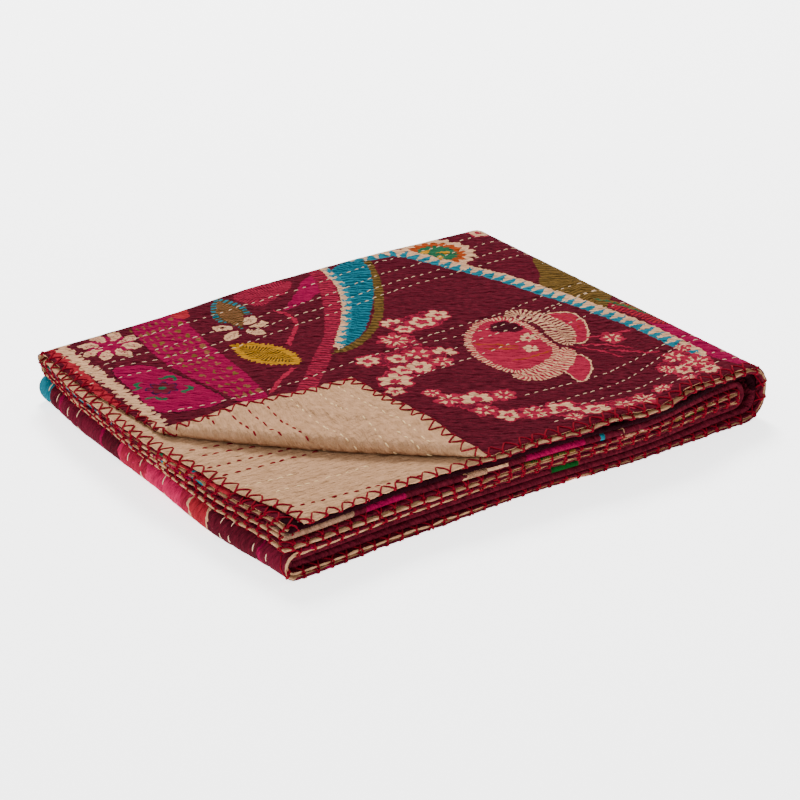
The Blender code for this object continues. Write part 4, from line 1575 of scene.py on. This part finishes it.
def smoothed(points, closed):
    """A line with its corners cut twice, so that it bends softly."""
    line = np.array(points, float)
    for _ in range(2):
        ends = np.roll(line, -1, axis=0) if closed else line[1:]
        starts = line if closed else line[:-1]
        cut = np.stack([0.75 * starts + 0.25 * ends, 0.25 * starts + 0.75 * ends], axis=1)
        cut = cut.reshape(-1, 2)
        line = cut if closed else np.vstack([line[:1], cut, line[-1:]])
    return np.vstack([line, line[:1]]) if closed else line


def along_line(points, line):
    """Distance along a line of each point's nearest place on it, and the distance left of it."""
    starts, runs = line[:-1], np.diff(line, axis=0)
    keep = np.hypot(*runs.T) > NO_LENGTH
    starts, runs = starts[keep], runs[keep]
    lengths = np.hypot(*runs.T)
    gone = np.concatenate([[0], np.cumsum(lengths)[:-1]])
    step = points[:, None] - starts[None]
    share = np.clip((step * runs).sum(axis=2) / lengths**2, 0, 1)
    gap = step - share[..., None] * runs
    away = np.hypot(gap[..., 0], gap[..., 1])
    best = away.argmin(axis=1)
    pick = np.arange(len(points)), best
    left = runs[best, 0] * gap[pick][:, 1] - runs[best, 1] * gap[pick][:, 0]
    return gone[best] + share[pick] * lengths[best], away[pick] * np.sign(left)


def leaf_outline(leaf):
    """A pointed oval round its middle."""
    angle = math.radians(leaf.get("turn", 0))
    ahead = np.array([math.cos(angle), math.sin(angle)])
    beside = np.array([-math.sin(angle), math.cos(angle)])
    long_half, wide_half = leaf["half"]
    upper, lower = [], []
    for share in np.linspace(-1, 1, OUTLINE_STEPS):
        middle = np.array(leaf["at"]) + ahead * long_half * share
        out = beside * wide_half * (1 - share * share)
        upper.append(middle + out)
        lower.append(middle - out)
    return upper + lower[-2:0:-1]


def figure_place(figure, points):
    """Along, across (1 at the outline) and size in millimetres, at points on the flat cloth."""
    if "radius" in figure:
        size = figure["radius"]
        angle = math.radians(figure.get("turn", 0))
        step = (points - figure["at"]) / size
        along = step[:, 0] * math.cos(angle) + step[:, 1] * math.sin(angle)
        across = step[:, 1] * math.cos(angle) - step[:, 0] * math.sin(angle)
    elif "line" in figure:
        size = figure["width"] / 2
        gone, away = along_line(points, smoothed(figure["line"], False))
        along, across = gone / figure.get("pitch", 1), away / size
    else:
        size = figure.get("width", PLAIN_WIDTH)
        outline = smoothed(figure.get("outline") or leaf_outline(figure), True)
        if np.sum(outline[:-1, 0] * outline[1:, 1] - outline[1:, 0] * outline[:-1, 1]) < 0:
            outline = outline[::-1]
        gone, inside = along_line(points, outline)
        along, across = gone / figure.get("pitch", 1), np.maximum(1 - inside / size, 0)
    return np.stack([along, across, np.full(len(points), size)], axis=1)


def reach_of(figure):
    """A box round a figure, in millimetres."""
    if "radius" in figure:
        points, margin = np.array([figure["at"]]), figure["radius"] + FLOWER_MARGIN
    else:
        points = np.array(figure.get("line") or figure.get("outline") or leaf_outline(figure))
        margin = figure.get("width", PLAIN_WIDTH) + LINE_MARGIN
    return points.min(axis=0) - margin, points.max(axis=0) + margin


def is_free(figure):
    """Whether a seeded figure keeps clear of the parts that are planned."""
    low, high = reach_of(figure)
    return not any((high > first).all() and (low < last).all() for first, last in PLANNED)


FIGURES = [figure for figure in SEEDED if is_free(figure)] + PATCHES + BANDS + FLOWERS + LEAVES
print(len(FIGURES), "figures in all")

# %% Keep the figures' places on the mesh
# Each manner's three numbers: their names in a figure's row, and their value where it has none
MANNERS = {
    "cut": (("kind", None), ("petals", 0), ("notch", 0)),
    "fill": (("rim", 2), ("centre", 0), ("teeth", 0)),
    "trim": (("slant", 0), ("comb", 0), (None, 0)),
}
ROUND_KIND, LINE_KIND = 1, 2


def store(mesh, name, kind, domain, values):
    """Keeps values on the corners or the faces of a mesh."""
    stored = mesh.attributes.new(name, kind, domain)
    key = "color" if kind == "FLOAT_COLOR" else "vector"
    stored.data.foreach_set(key, values.ravel())


def print_on(cloth):
    """Stores for each layer where every corner lies in its figure, and the figure's manner."""
    mesh = cloth.data
    corners = np.empty(len(mesh.loops) * 2)
    mesh.uv_layers["flat"].data.foreach_get("uv", corners)
    corners = corners.reshape(-1, 2) / MM
    starts, counts = np.empty(len(mesh.polygons), int), np.empty(len(mesh.polygons), int)
    mesh.polygons.foreach_get("loop_start", starts)
    mesh.polygons.foreach_get("loop_total", counts)
    middles = np.add.reduceat(corners, starts) / counts[:, None]
    face_of_corner = np.repeat(np.arange(len(counts)), counts)
    for layer in range(LAYERS):
        place = np.tile([0.0, OUTSIDE, 1.0], (len(corners), 1))
        manner = {name: np.zeros((len(counts), 3)) for name in MANNERS}
        dyes = {name: np.zeros((len(counts), 4)) for name in ("edge", "body", "heart")}
        for figure in FIGURES:
            if figure["layer"] != layer:
                continue
            low, high = reach_of(figure)
            near = np.flatnonzero(((middles > low) & (middles < high)).all(axis=1))
            if not len(near):
                continue
            picked = np.isin(face_of_corner, near)
            where = np.flatnonzero(picked)
            found = figure_place(figure, corners[where])
            is_round = "radius" in figure
            across = np.hypot(found[:, 0], found[:, 1]) if is_round else np.abs(found[:, 1])
            margin = 1 - min(figure.get("notch", 0), 0) + FACE_MARGIN / found[0, 2]
            owners = np.unique(face_of_corner[where[across < margin]])
            owned = np.isin(face_of_corner[where], owners)
            place[where[owned]] = found[owned]
            read = dict(figure, kind=ROUND_KIND if is_round else LINE_KIND)
            for name, parts in MANNERS.items():
                manner[name][owners] = [read.get(part, plain) for part, plain in parts]
            for name in dyes:
                dyes[name][owners] = linear(DYES[figure.get(name, figure["body"])])
        store(mesh, f"place {layer}", "FLOAT_VECTOR", "CORNER", place)
        for name, values in manner.items():
            store(mesh, f"{name} {layer}", "FLOAT_VECTOR", "FACE", values)
        for name, values in dyes.items():
            store(mesh, f"{name} {layer}", "FLOAT_COLOR", "FACE", values)
        print("layer", layer, int((place[:, 1] != OUTSIDE).sum()), "corners in figures")

# %% [markdown]
# ## Materials
# Both cloths are drawn by shader nodes on their own flat coordinates, in metres, so pattern
# sizes are real sizes. One small function adds a node, sets it and links it.

# %% Materials
def node(tree, kind, settings=None, out=0, **links):
    """Adds a node with its settings, and links or sets its inputs by name or number (i0, i1)."""
    made = tree.nodes.new(kind)
    for name, value in (settings or {}).items():
        setattr(made, name, value)
    for name, value in links.items():
        key = int(name[1:]) if name[1:].isdigit() else name.replace("_", " ")
        if isinstance(value, bpy.types.NodeSocket):
            tree.links.new(value, made.inputs[key])
        else:
            made.inputs[key].default_value = value
    return made.outputs[out]

# %% [markdown]
# ## The figure
# One node group draws any figure of the print, from the numbers that the cloth carries. An
# image could hold the print too, but nodes stay sharp however near one looks.
# A figure is reckoned in small steps, a node for each: `along` counts petals or pitches,
# `across` is 1 at the uncut outline, and `reach` is 1 at the outline with its notches.

# %% The figure
FIGURE_STEPS = [
    # name of the result, operation, and its terms, each a number or the name of a value
    ("angle", "ARCTAN2", "y", "x"),
    ("turned", "DIVIDE", "angle", 2 * math.pi),
    ("petals so far", "MULTIPLY", "turned", "petals"),
    ("is round", "LESS_THAN", "kind", 1.5),
    ("petals less path", "SUBTRACT", "petals so far", "x"),
    ("along", "MULTIPLY_ADD", "is round", "petals less path", "x"),
    ("x squared", "MULTIPLY", "x", "x"),
    ("radius squared", "MULTIPLY_ADD", "y", "y", "x squared"),
    ("radius", "SQRT", "radius squared"),
    ("plain across", "ABSOLUTE", "y"),
    ("radius less across", "SUBTRACT", "radius", "plain across"),
    ("across", "MULTIPLY_ADD", "is round", "radius less across", "plain across"),
    ("half turns", "MULTIPLY", "along", math.pi),
    ("swing", "COSINE", "half turns"),
    ("lobe", "ABSOLUTE", "swing"),
    ("valley", "SUBTRACT", 1, "lobe"),
    ("bite", "MULTIPLY", "valley", "notch"),
    ("outline", "SUBTRACT", 1, "bite"),
    ("reach", "DIVIDE", "across", "outline"),
    ("drawn", "LESS_THAN", "reach", 1),
    ("teeth so far", "MULTIPLY", "along", "teeth"),
    ("tooth", "PINGPONG", "teeth so far", 0.5),
    ("lean", "MULTIPLY", "y", "slant"),
    ("level", "MULTIPLY_ADD", "lean", -0.25, 0.25),
    ("in tooth", "LESS_THAN", "tooth", "level"),
    ("has teeth", "GREATER_THAN", "teeth", 0.001),
    ("striped", "MULTIPLY", "in tooth", "has teeth"),
    ("in rim", "GREATER_THAN", "reach", "rim"),
    ("plain", "SUBTRACT", 1, "striped"),
    ("body stripes", "SUBTRACT", 1, "comb"),
    ("body edge", "MULTIPLY", "body stripes", "striped"),
    ("edge share", "MULTIPLY_ADD", "in rim", "plain", "body edge"),
    ("in heart", "LESS_THAN", "reach", "centre"),
]


def figure_group():
    """A node group that draws whichever figure owns a point: its colour and whether it is drawn."""
    tree = bpy.data.node_groups.new("printed figure", "ShaderNodeTree")
    sockets = [(name, "INPUT", "Vector") for name in ("place", "cut", "fill", "trim")]
    sockets += [(name, "INPUT", "Color") for name in ("edge", "body", "heart")]
    sockets += [("wobble", "INPUT", "Vector")]
    sockets += [("colour", "OUTPUT", "Color"), ("drawn", "OUTPUT", "Float")]
    for name, way, kind in sockets:
        tree.interface.new_socket(name, in_out=way, socket_type="NodeSocket" + kind)
    given = {socket.name: socket for socket in tree.nodes.new("NodeGroupInput").outputs}
    size = node(tree, "ShaderNodeSeparateXYZ", out=2, Vector=given["place"])
    share = node(tree, "ShaderNodeMath", dict(operation="DIVIDE"), i0=1.0, i1=size)
    shift = node(tree, "ShaderNodeVectorMath", dict(operation="SCALE"),
                 Vector=given["wobble"], Scale=share)
    moved = node(tree, "ShaderNodeVectorMath", dict(operation="ADD"), i0=given["place"], i1=shift)
    values = {}
    for vector, names in ((moved, "x y"), (given["cut"], "kind petals notch"),
                          (given["fill"], "rim centre teeth"), (given["trim"], "slant comb")):
        for axis, name in enumerate(names.split()):
            values[name] = node(tree, "ShaderNodeSeparateXYZ", out=axis, Vector=vector)
    for name, operation, *terms in FIGURE_STEPS:
        inputs = {f"i{n}": values.get(term, term) for n, term in enumerate(terms)}
        values[name] = node(tree, "ShaderNodeMath", dict(operation=operation), **inputs)
    mixed = node(tree, "ShaderNodeMix", dict(data_type="RGBA"), out=2,
                 i0=values["edge share"], i6=given["body"], i7=given["edge"])
    colour = node(tree, "ShaderNodeMix", dict(data_type="RGBA"), out=2,
                  i0=values["in heart"], i6=mixed, i7=given["heart"])
    end = tree.nodes.new("NodeGroupOutput")
    tree.links.new(colour, end.inputs["colour"])
    tree.links.new(values["drawn"], end.inputs["drawn"])
    return tree


FIGURE = figure_group()
print(len(FIGURE.nodes), "nodes draw any figure")

# %% [markdown]
# ## Printed cotton
# The ground is a deep maroon, a little uneven from the hand of the printer and from washing.
# Its fine streaks run along the ripples: they are partly uneven dye and partly painted light
# and shade of those ripples, and they lighten and darken the figures as well.
# Fine loose fibres stand up on washed cotton and scatter the light, so it is matt all over.
# The stitching gathers the thin cotton into fine ripples, which are drawn as bump over the
# larger puckers of the mesh. The yarns of the plain weave would be a third of a millimetre
# apart, finer than can be drawn at this size, so the finest ripples, which are over a
# millimetre long, stand for them.

# %% Printed cotton
WOBBLE = 1.5  # millimetres by which printed edges wander
WOBBLE_SCALE = 330  # this and the other scales are waves to a metre
STREAK_SCALE = 520
WASH_SCALE = 22
STREAK_STRETCH = (2.6, 1.0, 1.0)
STREAK_TURN = -0.63  # radians from the length of the quilt
DARKEST = 0.5  # brightness of the print where it is darkest
STREAK_AND_RIPPLE_LIGHT = 0.8  # what the streaks, partly painted ripple light and shade, and the washing add to it
WASH_SHARE = 0.24
PRINT_RIPPLES = [
    # waves to a metre, stretch of each, radians from the quilt's length, height in millimetres
    dict(scale=340, stretch=(3.0, 1, 1), turn=STREAK_TURN, height=3.4),
    dict(scale=150, stretch=(2, 1, 1), turn=STREAK_TURN, height=3.2),
    dict(scale=820, stretch=(1.6, 1, 1), turn=0.1, height=0.6),
]
CLOTH_ROUGHNESS, CLOTH_SHINE = 0.85, 0.01


def scaled_noise(tree, where, scale, detail=2.0, stretch=(1, 1, 1), turn=0.0, out=0):
    """Noise on the flat cloth by its waves to a metre, stretched and turned about the normal."""
    turned = node(tree, "ShaderNodeMapping", dict(vector_type="TEXTURE"), Vector=where,
                  Rotation=(0, 0, turn), Scale=stretch)
    return node(tree, "ShaderNodeTexNoise", dict(noise_dimensions="2D"), out=out,
                Vector=turned, Scale=scale, Detail=detail)


def add_ripples(tree, where, ripples, shader):
    """Bumps the shader with several noises added up."""
    height = 0.0
    for ripple in ripples:
        wave = scaled_noise(
            tree, where, ripple["scale"], stretch=ripple["stretch"], turn=ripple["turn"])
        height = node(tree, "ShaderNodeMath", dict(operation="MULTIPLY_ADD"),
                      i0=wave, i1=ripple["height"], i2=height)
    bump = node(tree, "ShaderNodeBump", Strength=1.0, Distance=MM, Height=height)
    tree.links.new(bump, shader.inputs["Normal"])


def printed_figures(tree, flat, ground):
    """The colour of the cloth with each layer of figures drawn over the one before."""
    random_shift = scaled_noise(tree, flat, WOBBLE_SCALE, 1.0, out=1)
    centred = node(tree, "ShaderNodeVectorMath", dict(operation="SUBTRACT"),
                   i0=random_shift, i1=(0.5, 0.5, 0.5))
    wobble = node(tree, "ShaderNodeVectorMath", dict(operation="SCALE"),
                  Vector=centred, Scale=2 * WOBBLE)
    colour = ground
    for layer in range(LAYERS):
        group = tree.nodes.new("ShaderNodeGroup")
        group.node_tree = FIGURE
        for name in ("place", "cut", "fill", "trim", "edge", "body", "heart"):
            is_colour = name in ("edge", "body", "heart")
            stored = node(tree, "ShaderNodeAttribute", dict(attribute_name=f"{name} {layer}"),
                          out=0 if is_colour else 1)
            tree.links.new(stored, group.inputs[name])
        tree.links.new(wobble, group.inputs["wobble"])
        colour = node(tree, "ShaderNodeMix", dict(data_type="RGBA"), out=2,
                      i0=group.outputs["drawn"], i6=colour, i7=group.outputs["colour"])
    return colour


def printed_cotton():
    """The printed face: its ground, the figures over it, streaks partly of painted ripple shade,
    washed places and ripples.
    """
    material, shader = matt_material("printed cotton", CLOTH_ROUGHNESS, CLOTH_SHINE)
    tree = material.node_tree
    flat = node(tree, "ShaderNodeUVMap", dict(uv_map="flat"))
    streak = scaled_noise(tree, flat, STREAK_SCALE, 3.0, STREAK_STRETCH, STREAK_TURN)
    washed = scaled_noise(tree, flat, WASH_SCALE)
    ground = node(tree, "ShaderNodeMix", dict(data_type="RGBA"), out=2, i0=streak,
                  i6=linear(DYES["dark maroon"]), i7=linear(DYES["light maroon"]))
    colour = printed_figures(tree, flat, ground)
    # painted light and shade: the streaks lighten and darken the whole print along the ripples,
    # besides being uneven dye
    shade = node(tree, "ShaderNodeMath", dict(operation="MULTIPLY_ADD"),
                 i0=streak, i1=STREAK_AND_RIPPLE_LIGHT, i2=DARKEST)
    shade = node(tree, "ShaderNodeMath", dict(operation="MULTIPLY_ADD"),
                 i0=washed, i1=WASH_SHARE, i2=shade)
    shaded = node(tree, "ShaderNodeVectorMath", dict(operation="SCALE"), Vector=colour, Scale=shade)
    tree.links.new(shaded, shader.inputs["Base Color"])
    add_ripples(tree, flat, PRINT_RIPPLES, shader)
    return material


printed = printed_cotton()
print(len(printed.node_tree.nodes), "nodes in the print")

# %% [markdown]
# ## Plain backing
# The backing is undyed cotton in a plain weave. Its yarns have thicker places, called slubs,
# which streak the beige a little. The rows gather it into short puckers that run along the
# stitches, and it is as matt as the face.

# %% Plain backing
SLUB_SCALE = 320
SLUB_STRETCH = (2.4, 1, 1)
SLUB_TURN = 0.1
BACKING_RIPPLES = [
    dict(scale=460, stretch=(3.2, 1, 1), turn=0.12, height=2.0),
    dict(scale=230, stretch=(1, 1.8, 1), turn=0.3, height=1.4),
    dict(scale=900, stretch=(1.4, 1, 1), turn=0.0, height=0.7),
]


def slubby_cotton():
    """The backing: beige cotton, streaked along its yarns and rippled by the stitches."""
    material, shader = matt_material("plain backing cotton", 0.9, CLOTH_SHINE)
    tree = material.node_tree
    flat = node(tree, "ShaderNodeUVMap", dict(uv_map="flat"))
    streak = scaled_noise(tree, flat, SLUB_SCALE, 3.0, SLUB_STRETCH, SLUB_TURN)
    colour = node(tree, "ShaderNodeMix", dict(data_type="RGBA"), out=2, i0=streak,
                  i6=linear("8c6848"), i7=linear("be9270"))
    tree.links.new(colour, shader.inputs["Base Color"])
    add_ripples(tree, flat, BACKING_RIPPLES, shader)
    return material


backing_cotton = slubby_cotton()
print(len(backing_cotton.node_tree.nodes), "nodes in the backing")

# %% [markdown]
# ## Threads
# The threads are cotton as well. Embroidery thread is spun smooth and dyed deep, so the red one
# keeps a faint gloss, while the cream and the undyed ones are soft sewing threads and more
# matt. A thread is about a millimetre thick, too fine for its twist to show, so each has one
# even colour. A colour that is the same all over needs no nodes: it is set on the shader.

# %% Threads
def cotton_thread(name, colour, roughness):
    """Thread of one even colour."""
    material, shader = matt_material(name, roughness, CLOTH_SHINE)
    shader.inputs["Base Color"].default_value = linear(colour)
    return material


red_thread = cotton_thread("red cotton thread", "6d0c1b", 0.65)
cream_thread = cotton_thread("cream cotton thread", "d1b192", 0.8)
undyed_thread = cotton_thread("undyed cotton thread", "dfbc8c", 0.8)
print("threads:", [thread.name for thread in (red_thread, cream_thread, undyed_thread)])

# %% [markdown]
# ## Building the pieces
# The cloths and the sewing are built last, because each needs the rules and materials above.

# %% Build the cloths
face = folded("face", "printed-face-cloth", printed)
print_on(face)
backing = folded("backing", "plain-backing-cloth", backing_cotton)

# %% Sew
running = sewn("running-stitches", cream_paths, STITCH_RADIUS, STITCH_SWELL, cream_thread)
red_running = sewn("red-running-stitches", red_paths, RED_RADIUS, STITCH_SWELL, red_thread)
back_running = sewn(
    "backing-running-stitches", undyed_paths, UNDYED_RADIUS, STITCH_SWELL, undyed_thread)
whipped = sewn("edge-whip-stitches", whip_paths, WHIP_RADIUS, WHIP_SWELL, red_thread)
STITCHES = [running, red_running, back_running, whipped]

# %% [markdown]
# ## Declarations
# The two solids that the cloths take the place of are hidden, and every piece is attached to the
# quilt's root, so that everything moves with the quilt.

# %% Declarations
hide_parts("printed_face")
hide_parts("plain_backing")
for piece in [face, backing, *STITCHES]:
    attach(piece, "root")
print("declared", len(STITCHES) + 2, "pieces")
